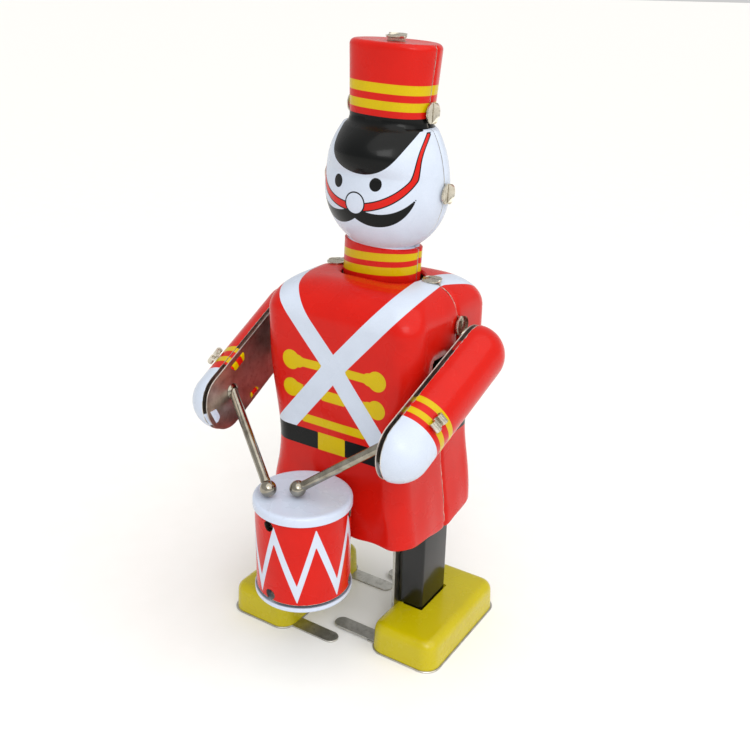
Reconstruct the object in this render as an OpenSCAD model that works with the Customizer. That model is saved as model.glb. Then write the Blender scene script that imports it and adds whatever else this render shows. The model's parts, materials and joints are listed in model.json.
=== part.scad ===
// Tin clockwork drummer soldier: two-part stamped body and head, half-round arms with
// drumsticks, a tin drum, sliding legs and a spring motor wound by a key in the back.
// Y is measured from the side seam of the body; place() moves it to the row's frame.

/* [Body] */
// Height of the shoulder line above the floor
shoulder_z = 118; // [117:0.5:119]
// Height of the hem of the coat above the floor
hem_z = 37; // [35:0.5:39]
// Half width of the chest
chest_w = 26.5; // [26:0.1:27]
// Depth of the coat in front of the side seam
front_d = 26.2; // [26:0.1:26.3]
// Depth of the coat behind the side seam
back_d = 20.5; // [20.2:0.1:21.5]
// Half width of the waist
waist_w = 23.2; // [22.5:0.1:24]
// Thickness modelled for the tinplate skins
skin = 0.7; // [0.6:0.05:0.8]

/* [Head] */
// Height of the widest line of the head
head_z = 143.5; // [143:0.1:144]
// Half width of the head
head_w = 19.3; // [19:0.1:19.8]
// Depth of the face in front of the seam
head_d = 15.9; // [15.4:0.1:16.4]
// Lean of the head toward the soldier's left
head_lean = 2.6; // [2:0.1:3]
// Height of the top of the hat
hat_z = 183.8; // [183:0.1:184.2]

/* [Arms] */
// Distance of each arm's flat side from the middle of the body, at the shoulder
arm_x = 32.2; // [31.6:0.1:33]
right_arm_x = 34.9; // [34.2:0.1:35.2]
// Height of the arm pivot
arm_z = 98; // [97.5:0.1:98.5]
// Half width of the arm, and its depth
arm_r = 9; // [8.8:0.05:9.2]
// Length from the pivot to the centre of the rounded hand
arm_len = 41.4; // [40:0.1:42]
// Slope of each arm below horizontal
arm_slope = 22.4; // [21:0.1:24]
right_arm_slope = 24.9; // [24:0.1:26]
// Angle by which the hands turn in
arm_toe = 3; // [2:0.5:4]
// Diameter of a drumstick's ball
ball_d = 4.9; // [4.5:0.1:5.2]

/* [Drum] */
// Radius of the drum's side
drum_r = 14.1; // [13.8:0.1:14.4]
// Height of the drum's top
drum_top = 60.6; // [60:0.1:61]
// Height of the drum's bottom
drum_bottom = 29.1; // [28.5:0.1:30]
// Distance of the drum's centre in front of the seam
drum_y = 41.3; // [41:0.1:42]

/* [Feet and legs] */
// Length of a shoe
shoe_l = 45.4; // [44:0.1:47]
// Height of a shoe
shoe_h = 10.2; // [9.5:0.1:10.5]
// Inner side of a shoe, from the middle
shoe_in = 13.4; // [13.2:0.1:13.6]
// Outer side of a shoe, from the middle
shoe_out = 36.9; // [36.5:0.1:37.5]
// Fore-and-aft travel of a leg
stride = 7.7; // [7:0.1:7.8]

/* [Motor] */
// Height of the crank axle
crank_z = 64; // [63.5:0.1:64.5]
// Gear module
gear_m = 0.6; // [0.6]
// Teeth of the great wheel on the winding arbor
great_teeth = 48; // [48]
// Teeth of each small pinion
pinion_teeth = 12; // [12]
// Teeth of the crown wheel and of the governor drive gear
mid_teeth = 24; // [24]

/* [Hidden] */

red = "#dd2c1c";
yellow = "#d8c81c";
white = "#dfe6f0";
black = "#1b1e20";
steel = "#9a9a96";
brass = "#c0a050";

gap = 0.05;                      // radial clearance of every shaft in its bore
sheet = 0.5;                     // plain sheet parts
plate_t = 1;                     // motor plates
pin_r = 1;                       // shafts, crank pins and guide pins
lid_r = drum_r + 0.55;
hole_turn = -97;                 // direction of the first clinch holes round the drum
key_end = 42.4;                  // rearmost point of the winding key
seam_x = (right_arm_x - arm_x) / 2;
seam_y = (drum_y + lid_r - key_end) / 2;
pinion_r = pinion_teeth * gear_m / 2;
mid_r = mid_teeth * gear_m / 2;
great_r = great_teeth * gear_m / 2;
tooth_h = 0.45;                  // tooth above the pitch line
crank_throw = stride / 2;
crank_y = -5.6;
arbor_z = crank_z + great_r + pinion_r;
governor_y = crank_y - (mid_r + pinion_r) * sin(60);
governor_z = crank_z + (mid_r + pinion_r) * cos(60);
pallet_z = governor_z + 8.6;
crown_face = crank_y + pinion_r - tooth_h;   // tips of the crown teeth
middle_y = 2.6;
great_y = 4.6;
ratchet_y = 6.5;
spring_y = 8.2;
rear_y = 16;
plate_x = 9;                     // inner face of each side plate
disc_x = 11.6;
cam_x = 10.4;
strip_x = 13.9;
strip_t = 0.9;
strip_lead = 2.2;                // the leg strips stand this far in front of their covers
cover_out = 23.8;
leg_y = -1.75;                   // middle of the left leg at rest; the right is a stride ahead
leg_half = 8;
shoe_y = -2.75;
prong_y = 17;
prong_w = 5.3;
prong_lift = 0.75;               // the left foot's prongs pass over the right's
prong_root = shoe_in + 2.6;
top_r = 10;                      // rounding of the shoulders
corner = 6.8;                    // corner radius of the coat's plan
hem_rise = 2.8;                  // the hem is higher at the front than at the seam
rows = 20;
cols = 24;
side_z = 106.2;                  // strap through the body's sides
shoulder_x = 17;
ear_z = 143.9;
hat_strap_z = 166;
hat_w = 12.2;                    // half width of the hat at its strap
head_shift = -0.6;               // the neck stands a little off the middle
head_foot = 116;                 // height at which the head leans over
tab_r = 2.9;
plate_r = 8.1;                   // half width of the arm's flat plate
left_ball = [0.1, -43.8, drum_top + ball_d / 2 + 0.3];
right_ball = [-6.9, -48.6, drum_top + ball_d / 2 + 0.3];
stick_root = 36.2;
right_roll = 5;                  // the right arm's upper edge leans outward
clip_turn = 34;                  // the cuff clips point up and out
clip_y = 32.8;                   // and stand this far from the arm pivot
stick_r = 1.4;

// ---------- shared shapes ----------
module place() translate([seam_x, seam_y, 0]) children();
module bar(lo, hi) translate(lo) cube(hi - lo);
module rod_x(x0, x1, r, y, z) translate([x0, y, z]) rotate([0, 90, 0]) cylinder(r = r, h = x1 - x0, $fn = 40);
module rod_y(y0, y1, r, x, z) translate([x, y0, z]) rotate([-90, 0, 0]) cylinder(r = r, h = y1 - y0, $fn = 40);

function mix(a, b, t) = a + (b - a) * t;
function ease(t) = t <= 0 ? 0 : t >= 1 ? 1 : t * t * (3 - 2 * t);
function spow(v, p) = v < 0 ? -pow(-v, p) : pow(v, p);
// Point of an oval of half width w and half depth d; n = 2 is an ellipse, more is squarer.
function oval(w, d, n, a) = [w * spow(cos(a), 2 / n), d * spow(sin(a), 2 / n)];

// A closed skin between an outer and an inner grid of points of the same size.
module skin_between(outer, inner) {
    n = len(outer);
    m = len(outer[0]);
    pts = concat([for (r = outer) each r], [for (r = inner) each r]);
    function o(i, j) = i * m + j;
    function k(i, j) = n * m + i * m + j;
    function quad(a, b, c, d) = [[a, b, c], [a, c, d]];
    faces = concat(
        [for (i = [0:n - 2]) for (j = [0:m - 2]) each quad(o(i, j), o(i + 1, j), o(i + 1, j + 1), o(i, j + 1))],
        [for (i = [0:n - 2]) for (j = [0:m - 2]) each quad(k(i, j), k(i, j + 1), k(i + 1, j + 1), k(i + 1, j))],
        [for (j = [0:m - 2]) each quad(o(0, j), o(0, j + 1), k(0, j + 1), k(0, j))],
        [for (j = [0:m - 2]) each quad(o(n - 1, j), k(n - 1, j), k(n - 1, j + 1), o(n - 1, j + 1))],
        [for (i = [0:n - 2]) each quad(o(i, 0), k(i, 0), k(i + 1, 0), o(i + 1, 0))],
        [for (i = [0:n - 2]) each quad(o(i, m - 1), o(i + 1, m - 1), k(i + 1, m - 1), k(i, m - 1))]);
    polyhedron(pts, faces, convexity = 6);
}

// Straight-flanked gear along +Z with teeth thin enough to run freely.
module gear(teeth, width, bore) {
    pr = teeth * gear_m / 2;
    difference() {
        union() {
            cylinder(r = pr - 0.75, h = width, $fn = 64);
            for (i = [0:teeth - 1]) rotate([0, 0, i * 360 / teeth]) linear_extrude(width)
                polygon([[pr - 1.1, -0.42], [pr - 0.2, -0.34], [pr + tooth_h, -0.12],
                    [pr + tooth_h, 0.12], [pr - 0.2, 0.34], [pr - 1.1, 0.42]]);
        }
        translate([0, 0, -1]) cylinder(r = bore, h = width + 2, $fn = 32);
    }
}

// Split clinch tab: two half discs folded flat on either side of a slit, normal to +Z.
module split_tab() difference() {
    cylinder(r = tab_r, h = 0.6, $fn = 32);
    translate([-tab_r - 1, -0.15, -1]) cube([2 * tab_r + 2, 0.3, 3]);
}
module tab_up(x, z) translate([x, 0, z]) split_tab();
module tab_side(s, x, z) translate([s * x, 0, z]) rotate([0, s * 90, 0]) split_tab();

// Plan of a box with round corners, as exact squares and circles.
module rounded_plan(x0, x1, y0, y1, r) {
    translate([x0 + r, y0]) square([x1 - x0 - 2 * r, y1 - y0]);
    translate([x0, y0 + r]) square([x1 - x0, y1 - y0 - 2 * r]);
    for (x = [x0 + r, x1 - r]) for (y = [y0 + r, y1 - r]) translate([x, y]) circle(r = r, $fn = 40);
}

// ---------- body ----------
function body_w(z) = z < 67 ? mix(26.2, waist_w, ease((z - hem_z) / (67 - hem_z)))
    : mix(waist_w, chest_w, ease((z - 67) / 30));
function body_d(z, s) = s > 0 ? back_d : z < 50 ? mix(front_d - 0.7, front_d + 0.5, ease((z - hem_z) / 13))
    : mix(front_d + 0.5, front_d, ease((z - 50) / 8));
// Half plan of a box of half width w, depth d and corner radius r, from +X round to -X.
function half_box(w, d, r) = concat(
    [for (u = [0:2]) [w, (d - r) * u / 3]],
    [for (a = [0:15:90]) [w - r + r * cos(a), d - r + r * sin(a)]],
    [for (u = [1:5]) [(w - r) * (1 - u / 3), d]],
    [for (a = [90:15:180]) [r - w + r * cos(a), d - r + r * sin(a)]],
    [for (u = [2:-1:0]) [-w, (d - r) * u / 3]]);
// Row i of the coat as [half width, depth, height, corner radius, share of the hem's rise]:
// 0 at the hem, the last two on the flat round the neck.
function body_row(i, t, s) = let(side = rows - 8, z0 = shoulder_z - top_r, n = i - side, dr = s > 0 ? 12 : 13.5)
    n <= 0 ? let(z = mix(hem_z, z0, i / side)) [body_w(z) - t, body_d(z, s) - t, z, corner - t, 1 - i / side]
    : n <= 6 ? let(a = n * 15) [body_w(z0) - top_r + (top_r - t) * cos(a),
        body_d(z0, s) - dr + (dr - t) * cos(a), z0 + (top_r - t) * sin(a), mix(corner, 8, n / 6) - t, 0]
    : [mix(16.5, 13.4, (n - 6) / 2), mix(body_d(z0, s) - dr, 8.9, (n - 6) / 2), shoulder_z - t, 8 - t, 0];
function body_grid(t, s) = [for (i = [0:rows]) let(r = body_row(i, t, s))
    [for (p = half_box(r[0], r[1], r[3])) [p.x, s * p.y, r[2] + r[4] * hem_rise * sin(90 * min(1, p.y / 25))]]];

module arm_window(s) bar([min(s * 22, s * 30), -13.5, 87], [max(s * 22, s * 30), -4.5, 98.5]);
module seam_slot(s) bar([min(s * 24, s * 29), -0.35, 103.1], [max(s * 24, s * 29), 0.35, 109.3]);
module shoulder_slot(s) bar([s * shoulder_x - 3, -0.35, 115], [s * shoulder_x + 3, 0.35, 120]);

module body_front_shell() color(red) place() difference() {
    skin_between(body_grid(0, -1), body_grid(skin, -1));
    for (s = [-1, 1]) {
        arm_window(s);
        seam_slot(s);
        shoulder_slot(s);
        rod_x(min(s * 24, s * 29), max(s * 24, s * 29), 2.2, 0, arm_z);
    }
}
module body_back_shell() color(red) place() mirror([1, 0, 0]) difference() {
    skin_between(body_grid(0, 1), body_grid(skin, 1));
    for (s = [-1, 1]) {
        seam_slot(s);
        shoulder_slot(s);
        rod_x(min(s * 24, s * 29), max(s * 24, s * 29), 2.2, 0, arm_z);
    }
    rod_y(18, 24, 3.2, 0, arbor_z);
}
module side_strap() color(steel) place() {
    bar([-27.2, -0.25, side_z - 3], [27.2, 0.25, side_z + 3]);
    for (s = [-1, 1]) tab_side(s, 26.9, side_z);
}
module shoulder_clips() color(steel) place() for (s = [-1, 1]) {
    bar([s * shoulder_x - 2.8, -0.25, side_z + 3], [s * shoulder_x + 2.8, 0.25, shoulder_z + 0.4]);
    tab_up(s * shoulder_x, shoulder_z + 0.2);
}

// ---------- head ----------
neck_z = 114;
function head_part(z) = let(t = (z - head_z) / (z < head_z ? 18.8 : 26.5)) sqrt(max(0, 1 - t * t));
// Rows of the head as [half width, front depth, back depth, z]: neck, face, hat, crown.
module on_head() place() translate([head_shift, 0, head_foot]) rotate([0, head_lean, 0])
    translate([0, 0, -head_foot]) children();
function neck_rows(t) = [for (z = [neck_z, 118, 122, 127]) [12.6 - t, 8.1 - t, 8.1 - t, z]];
function face_rows(t) = [for (i = [0:13]) let(z = 128.6 + i * 2.5, k = head_part(z), v = visor(z))
    [head_w * k - t, head_d * k - t + v, (head_d - 2.3) * k - t, z]];
function visor(z) = z < 149 ? 0 : 3.6 * sin(180 * min(1, (z - 149) / 15.5));
function hat_rows(t) = [for (z = [164, 172, 182]) let(k = (z - 164) / 18) [mix(hat_w - 0.2, hat_w + 0.6, k) - t, 9.3 - t, 11 - t, z]];
function crown_rows(t) = [[hat_w + 0.2 - t, 8.9 - t, 10.6 - t, hat_z - 0.5 - t / 2],
    [hat_w - 1.5, 7.2, 8.9, hat_z - t], [0.3, 0.2, 0.2, hat_z - t]];
function head_rows(t) = concat(neck_rows(t), face_rows(t), hat_rows(t), crown_rows(t));
function head_grid(t, s) = [for (r = head_rows(t)) [for (j = [0:20]) let(a = 9 * j, f = s < 0 ?
    mix(r[2], r[1], pow(sin(a), 1.5)) : r[2], p = oval(r[0], f, 2.1, s * a)) [p.x, p.y, r[3]]]];

module head_slots() {
    for (s = [-1, 1]) {
        bar([min(s * 17, s * 23), -0.35, ear_z - 3.1], [max(s * 17, s * 23), 0.35, ear_z + 3.1]);
        bar([min(s * 10, s * 15), -0.35, hat_strap_z - 3.1], [max(s * 10, s * 15), 0.35, hat_strap_z + 3.1]);
    }
    bar([-3, -0.35, 180], [3, 0.35, 187]);
}
module head_front_shell() color(white) on_head() difference() {
    skin_between(head_grid(0, -1), head_grid(skin, -1));
    head_slots();
}
module head_back_shell() color(white) on_head() mirror([1, 0, 0]) difference() {
    skin_between(head_grid(0, 1), head_grid(skin, 1));
    head_slots();
}
module ear_strap() color(steel) on_head() {
    bar([-head_w - 0.2, -0.25, ear_z - 2.8], [head_w + 0.2, 0.25, ear_z + 2.8]);
    for (s = [-1, 1]) tab_side(s, head_w + 0.1, ear_z);
}
module hat_side_strap() color(steel) on_head() {
    bar([-hat_w - 0.3, -0.25, hat_strap_z - 2.8], [hat_w + 0.3, 0.25, hat_strap_z + 2.8]);
    for (s = [-1, 1]) tab_side(s, hat_w + 0.2, hat_strap_z);
}
module hat_top_clip() color(steel) on_head() {
    bar([-2.8, -0.25, hat_strap_z + 2.8], [2.8, 0.25, hat_z + 0.8]);
    tab_up(0, hat_z + 0.6);
}

// ---------- drum ----------
module drum_axis() place() translate([0, -drum_y, 0]) children();
module lid(z, up) rotate_extrude($fn = 72) polygon(up > 0
    ? [[0, z], [drum_r - 1.2, z], [lid_r - 0.4, z - 0.1], [lid_r, z - 0.5], [lid_r, z - 2.2],
        [drum_r, z - 2.2], [drum_r, z - sheet], [0, z - sheet]]
    : [[0, z], [lid_r - 0.4, z], [lid_r, z + 0.4], [lid_r, z + 1.6], [drum_r, z + 1.6],
        [drum_r, z + sheet], [0, z + sheet]]);
module drum_shell() color(red) drum_axis() difference() {
    rotate_extrude($fn = 72) polygon([[drum_r - sheet, drum_bottom + sheet], [drum_r, drum_bottom + sheet],
        [drum_r, drum_top - sheet], [drum_r - sheet, drum_top - sheet]]);
    for (a = [0, 120, 240]) rotate([0, 0, hole_turn + a]) for (z = [drum_bottom + 3.8, drum_top - 4.6])
        translate([0, 0, z]) rotate([0, 90, 0]) cylinder(r = 1.7, h = 20, $fn = 24);
    bar([-3.1, 10, 44.6], [3.1, 20, 55.4]);
}
module drum_top_lid() color(white) drum_axis() lid(drum_top, 1);
module drum_bottom_lid() color(white) drum_axis() lid(drum_bottom, -1);
module drum_tie_strap() color(steel) drum_axis() rotate([0, 0, hole_turn]) {
    bar([-12.6, -1.4, drum_bottom + sheet], [-12, 1.4, drum_top - sheet]);
    bar([12, -1.4, drum_bottom + sheet], [12.6, 1.4, drum_top - sheet]);
    bar([-12, -1.4, drum_bottom + sheet], [12, 1.4, drum_bottom + 2 * sheet]);
}
module drum_bracket() color(steel) place() {
    bar([-3, -30, 45], [3, -24.6, 45.6]);
    bar([-3, -30, 54.4], [3, -24.6, 55]);
    bar([-3, -25.2, 45.6], [3, -24.6, 54.4]);
}

// ---------- motor frame ----------
module motor_plate(s) place() mirror([s < 0 ? 1 : 0, 0, 0]) difference() {
    bar([plate_x, -19.5, 53], [plate_x + plate_t, middle_y, 82]);
    rod_x(plate_x - 1, plate_x + 3, pin_r + gap, crank_y, crank_z);
    rod_x(plate_x - 1, plate_x + 3, pin_r + gap, governor_y, governor_z);
    rod_x(plate_x - 1, plate_x + 3, 0.7 + gap, governor_y, pallet_z);
}
module left_motor_plate() color(steel) motor_plate(1);
module right_motor_plate() color(steel) motor_plate(-1);
module middle_motor_plate() color(steel) place() difference() {
    union() {
        bar([-12.8, middle_y, 53], [12.8, middle_y + plate_t, 100]);
        bar([-25.4, middle_y, 87], [25.4, middle_y + plate_t, 95]);
    }
    rod_y(middle_y - 1, middle_y + 3, pin_r + gap, 0, crank_z);
    rod_y(middle_y - 1, middle_y + 3, 1.5 + gap, 0, arbor_z);
}
module rear_motor_plate() color(steel) place() difference() {
    bar([-15.5, rear_y, 53], [15.5, rear_y + plate_t, 100]);
    rod_y(rear_y - 1, rear_y + 3, pin_r + gap, 0, crank_z);
    rod_y(rear_y - 1, rear_y + 3, 1.5 + gap, 0, arbor_z);
}
module motor_pillars() color(steel) place() {
    for (p = [[-11, 56], [11, 56], [-11.6, 98.4], [11.6, 98.4]])
        rod_y(middle_y + plate_t, rear_y, 1.2, p[0], p[1]);
}
module leg_guide_pins() color(steel) place() for (s = [-1, 1]) {
    rod_x(min(s * 10, s * 16), max(s * 10, s * 16), pin_r, crank_y, crank_z + 9);
    rod_x(min(s * 15.3, s * 16), max(s * 15.3, s * 16), 2, crank_y, crank_z + 9);
}
// Flat spiral ribbon wound round the arbor, its outer end hooked on a pillar.
turns = 8;
function spiral(r0, r1, n) = [for (i = [0:n]) let(a = 360 * turns * i / n, r = mix(r0, r1, i / n)) [r * cos(a), r * sin(a)]];
module mainspring() color(steel) place() translate([0, spring_y + 7, arbor_z]) rotate([90, 0, 0])
    linear_extrude(7) polygon(concat(spiral(1.9, 12.9, 192),
        [for (p = [192:-1:0]) spiral(2.25, 13.25, 192)[p]]));

function pivot_x(s) = s > 0 ? arm_x : right_arm_x;
module arm_pivot(s) place() mirror([s < 0 ? 1 : 0, 0, 0]) {
    rod_x(24.4, pivot_x(s) + 1.5, 2, 0, arm_z);
    rod_x(24.2, 25.6, 3.4, 0, arm_z);
    rod_x(pivot_x(s) + 1.3, pivot_x(s) + 2, 3, 0, arm_z);
}
module left_arm_pivot() color(steel) arm_pivot(1);
module right_arm_pivot() color(steel) arm_pivot(-1);

// ---------- winding group ----------
// Butterfly key: a tube on the arbor, and a flat plate with two finger loops.
loop_x = 7;
loop_r = 5.8;
module winding_key() color(steel) place() difference() {
    union() {
        rod_y(22.5, 33.6, 2.6, 0, arbor_z);
        translate([0, 0, arbor_z - 0.8]) {
            for (s = [-1, 1]) translate([s * loop_x, key_end - loop_r, 0]) cylinder(r = loop_r, h = 1.6, $fn = 48);
            translate([-6, key_end - loop_r - 2.2, 0]) cube([12, 4.4, 1.6]);
            translate([-2.4, 30, 0]) cube([4.8, key_end - loop_r - 30, 1.6]);
        }
    }
    rod_y(22, 31.9, 1.5, 0, arbor_z);
    for (s = [-1, 1]) translate([s * loop_x, key_end - loop_r, arbor_z - 2]) cylinder(r = 3.4, h = 4, $fn = 40);
}
module winding_arbor() color(steel) place() {
    rod_y(1.6, 31.9, 1.5, 0, arbor_z);
    rod_y(7.7, 15.8, 1.85, 0, arbor_z);
}
ratchet_teeth = 12;
module ratchet_wheel() color(brass) place() translate([0, ratchet_y + 1, arbor_z]) rotate([90, 0, 0])
    difference() {
        linear_extrude(1) polygon([for (i = [0:ratchet_teeth - 1]) for (k = [0, 1])
            let(a = i * 360 / ratchet_teeth + k * 3, r = k == 0 ? 4 : 5.2) [r * cos(a), r * sin(a)]]);
        translate([0, 0, -1]) cylinder(r = 1.5, h = 3, $fn = 32);
    }
module great_wheel() color(brass) place() {
    translate([0, great_y + 1.5, arbor_z]) rotate([90, 0, 0]) difference() {
        gear(great_teeth, 1.5, 1.5 + gap);
        for (a = [45:90:315]) rotate([0, 0, a]) translate([9.6, 0, -1]) cylinder(r = 2.4, h = 4, $fn = 24);
    }
    rod_y(great_y + 1, ratchet_y + 1.4, 0.7, 7, arbor_z - 4);
}
module click_pawl() color(steel) place() difference() {
    union() {
        rod_y(ratchet_y, ratchet_y + 1, 1.5, 7, arbor_z - 4);
        translate([7, ratchet_y, arbor_z - 4]) rotate([0, -22, 0]) bar([-0.2, 0, 0], [0.6, 1, 3.9]);
    }
    rod_y(ratchet_y - 1, ratchet_y + 3, 0.7 + gap, 7, arbor_z - 4);
}

// ---------- second shaft and crown wheel ----------
module second_shaft() color(steel) place() rod_y(crown_face + 0.6, rear_y + 2, pin_r, 0, crank_z);
module second_pinion() color(brass) place() translate([0, great_y + 1.7, crank_z]) rotate([90, 0, 0])
    rotate([0, 0, 180 / pinion_teeth]) gear(pinion_teeth, 1.9, pin_r);
module crown_wheel() color(brass) place() translate([0, crown_face, crank_z]) rotate([-90, 0, 0]) difference() {
    union() {
        translate([0, 0, 1.2]) cylinder(r = mid_r + 0.6, h = 1.2, $fn = 64);
        for (i = [0:mid_teeth - 1]) rotate([0, 0, (i + 0.5) * 360 / mid_teeth])
            translate([mid_r - 0.6, -0.35, 0]) cube([1.2, 0.7, 1.3]);
    }
    translate([0, 0, -1]) cylinder(r = pin_r, h = 5, $fn = 32);
}

// ---------- crank axle group ----------
module on_crank(x) place() translate([x, crank_y, crank_z]) rotate([0, 90, 0]) children();
module crank_axle() color(steel) place() rod_x(-disc_x - 0.8, disc_x + 0.8, pin_r, crank_y, crank_z);
module crank_pinion() color(brass) on_crank(mid_r - 0.9) gear(pinion_teeth, 1.7, pin_r);
module governor_drive_gear() color(brass) on_crank(-8.8) gear(mid_teeth, 0.8, pin_r);
module crank_disc(s) place() difference() {
    union() {
        rod_x(min(s * disc_x, s * (disc_x + 0.8)), max(s * disc_x, s * (disc_x + 0.8)), 5.6, crank_y, crank_z);
        rod_x(min(s * disc_x, s * 13.6), max(s * disc_x, s * 13.6), 0.9, crank_y + s * crank_throw, crank_z);
    }
    rod_x(-20, 20, pin_r, crank_y, crank_z);
}
module left_crank_disc() color(steel) crank_disc(1);
module right_crank_disc() color(steel) crank_disc(-1);
module arm_cam(s) place() difference() {
    union() {
        rod_x(min(s * cam_x, s * (cam_x + 0.8)), max(s * cam_x, s * (cam_x + 0.8)), 3.4, crank_y, crank_z);
        rod_x(min(s * cam_x, s * (cam_x + 0.8)), max(s * cam_x, s * (cam_x + 0.8)), 2.2, crank_y + 3.6, crank_z);
    }
    rod_x(-20, 20, pin_r, crank_y, crank_z);
}
module left_arm_cam() color(steel) arm_cam(1);
module right_arm_cam() color(steel) arm_cam(-1);

// ---------- governor ----------
module on_governor(x) place() translate([x, governor_y, governor_z]) rotate([0, 90, 0]) children();
module governor_shaft() color(steel) place() rod_x(-10.2, 10.2, pin_r, governor_y, governor_z);
module governor_pinion() color(brass) on_governor(-8.9) rotate([0, 0, 180 / pinion_teeth]) gear(pinion_teeth, 1, pin_r);
module escape_wheel() color(brass) on_governor(3) difference() {
    union() {
        cylinder(r = 4.4, h = 1, $fn = 48);
        for (a = [0:45:315]) rotate([0, 0, a + 22.5]) translate([3.6, -0.5, 0]) cube([2.4, 1, 1]);
    }
    translate([0, 0, -1]) cylinder(r = pin_r, h = 3, $fn = 32);
}
module governor_pallet() color(brass) place() {
    rod_x(-10.2, 10.2, 0.7, governor_y, pallet_z);
    rod_x(2.6, 4.4, 1.5, governor_y, pallet_z);
    bar([3, governor_y - 5.4, pallet_z - 0.5], [4, governor_y + 5.4, pallet_z + 0.5]);
    for (s = [-1, 1]) bar([3, governor_y + s * 5 - 0.4, pallet_z - 3.4], [4, governor_y + s * 5 + 0.4, pallet_z]);
}

// ---------- legs ----------
// s is +1 for the left leg and -1 for the right, which stands one stride ahead.
module leg(s) place() translate([0, s < 0 ? -stride : 0, 0]) mirror([s < 0 ? 1 : 0, 0, 0]) children();
module leg_strip(s) leg(s) difference() {
    union() {
        bar([strip_x, leg_y - leg_half - strip_lead, 1.1], [strip_x + strip_t, leg_y + leg_half, 76]);
        bar([strip_x, leg_y - leg_half, 0.6], [strip_x + 6, leg_y + leg_half, 1.1]);
    }
    translate([0, leg_y, 0]) {
        for (d = [-crank_throw, crank_throw]) rod_x(10, 20, pin_r + 0.15, d, crank_z + 9);
        bar([10, -crank_throw, crank_z + 9 - pin_r - 0.15], [20, crank_throw, crank_z + 9 + pin_r + 0.15]);
    }
    bar([10, leg_y - 1.1, crank_z - 5], [20, leg_y + 1.1, crank_z + 5]);
}
// Square-cornered channel below the hem, with its top corners rounded off inside the coat.
module leg_cover(s) leg(s) difference() {
    union() {
        bar([strip_x + strip_t, leg_y - leg_half, 1.1], [cover_out, leg_y + leg_half, 36]);
        translate([0, leg_y, 36]) linear_extrude(8) intersection() {
            rounded_plan(5, cover_out, -leg_half, leg_half, 4);
            translate([strip_x + strip_t, -20]) square([40, 40]);
        }
    }
    bar([strip_x, leg_y - leg_half + 0.6, 0], [cover_out - 0.6, leg_y + leg_half - 0.6, 35]);
    bar([strip_x, leg_y - leg_half + 3, 34], [cover_out - 3, leg_y + leg_half - 3, 45]);
}
module shoe(s) leg(s) difference() {
    translate([0, shoe_y, 0.6]) linear_extrude(shoe_h - 0.6)
        rounded_plan(shoe_in, shoe_out, -shoe_l / 2, shoe_l / 2, 5);
    translate([0, shoe_y, 0]) linear_extrude(shoe_h - 0.8)
        rounded_plan(shoe_in + 0.8, shoe_out - 0.8, -shoe_l / 2 + 0.8, shoe_l / 2 - 0.8, 4.2);
    bar([shoe_in - 1, leg_y - leg_half - 0.1, 0.5], [cover_out + 0.1, leg_y + leg_half + 0.1, shoe_h + 1]);
    bar([shoe_in - 1, leg_y - leg_half - strip_lead - 0.1, 0.5], [strip_x + strip_t + 0.1, leg_y, shoe_h + 1]);
    if (s > 0) for (y = [-prong_y, prong_y])
        bar([shoe_in - 1, shoe_y + y - prong_w / 2, 0.5], [prong_root, shoe_y + y + prong_w / 2, 0.6 + prong_lift]);
}
module sole_plate(s) leg(s) translate([0, shoe_y, 0]) {
    linear_extrude(0.6) rounded_plan(shoe_in - 0.2, shoe_out + 0.5, -shoe_l / 2 - 0.5, shoe_l / 2 + 0.5, 5.2);
    for (y = [-prong_y, prong_y]) translate([0, y, s > 0 ? prong_lift : 0]) {
        linear_extrude(0.6) translate([-0.2, -prong_w / 2]) square([s > 0 ? 12 : shoe_in + 1, prong_w]);
        translate([-0.2, 0, 0]) cylinder(r = prong_w / 2, h = 0.6, $fn = 32);
    }
    if (s > 0) for (y = [-prong_y, prong_y])
        bar([11.2, y - prong_w / 2, 0], [prong_root, y + prong_w / 2, 0.6 + prong_lift]);
}
module left_leg_strip() color(steel) leg_strip(1);
module left_leg_cover() color(black) leg_cover(1);
module left_shoe() color(yellow) shoe(1);
module left_sole_plate() color(steel) sole_plate(1);
module right_leg_strip() color(steel) leg_strip(-1);
module right_leg_cover() color(black) leg_cover(-1);
module right_shoe() color(yellow) shoe(-1);
module right_sole_plate() color(steel) sole_plate(-1);

// ---------- arms ----------
// Arm frame: +X out from the flat side, -Y along the arm to the hand, Z across it.
function slope(s) = s > 0 ? arm_slope : right_arm_slope;
function roll(s) = s > 0 ? 0 : right_roll;
module arm_turn(s) translate([s * pivot_x(s), 0, arm_z]) rotate([0, 0, -s * arm_toe]) rotate([slope(s), 0, 0])
    mirror([s < 0 ? 1 : 0, 0, 0]) rotate([0, roll(s), 0]) children();
module arm(s) place() arm_turn(s) children();
// Rows along a half capsule: round shoulder, straight sleeve, round hand.
function capsule_rows() = concat([for (a = [90:-18:18]) [arm_r * sin(a), cos(a)]],
    [for (k = [0:5]) [-arm_len * k / 5, 1]], [for (a = [18:18:90]) [-arm_len - arm_r * sin(a), cos(a)]]);
function capsule_grid(r) = [for (c = capsule_rows()) let(q = max(c[1], 0.02), y = c[0] > 0 ? c[0] * r / arm_r
    : c[0] < -arm_len ? -arm_len + (c[0] + arm_len) * r / arm_r : c[0])
    [for (a = [-90:15:90]) [r * q * cos(a), y, r * q * sin(a)]]];
module arm_shell(s) arm(s) {
    skin_between(capsule_grid(arm_r), capsule_grid(arm_r - skin));
    bar([-0.95, -7, 5.6], [0.2, -3.5, arm_r - 0.1]);
    for (z = [-1, 1]) bar([-0.95, -31, z > 0 ? 5.6 : -arm_r + 0.1], [0.2, -27, z > 0 ? arm_r - 0.1 : -5.6]);
    bar([-0.95, -arm_len - arm_r + 0.5, -1.8], [0.2, -arm_len - 5, 1.8]);
}
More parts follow.
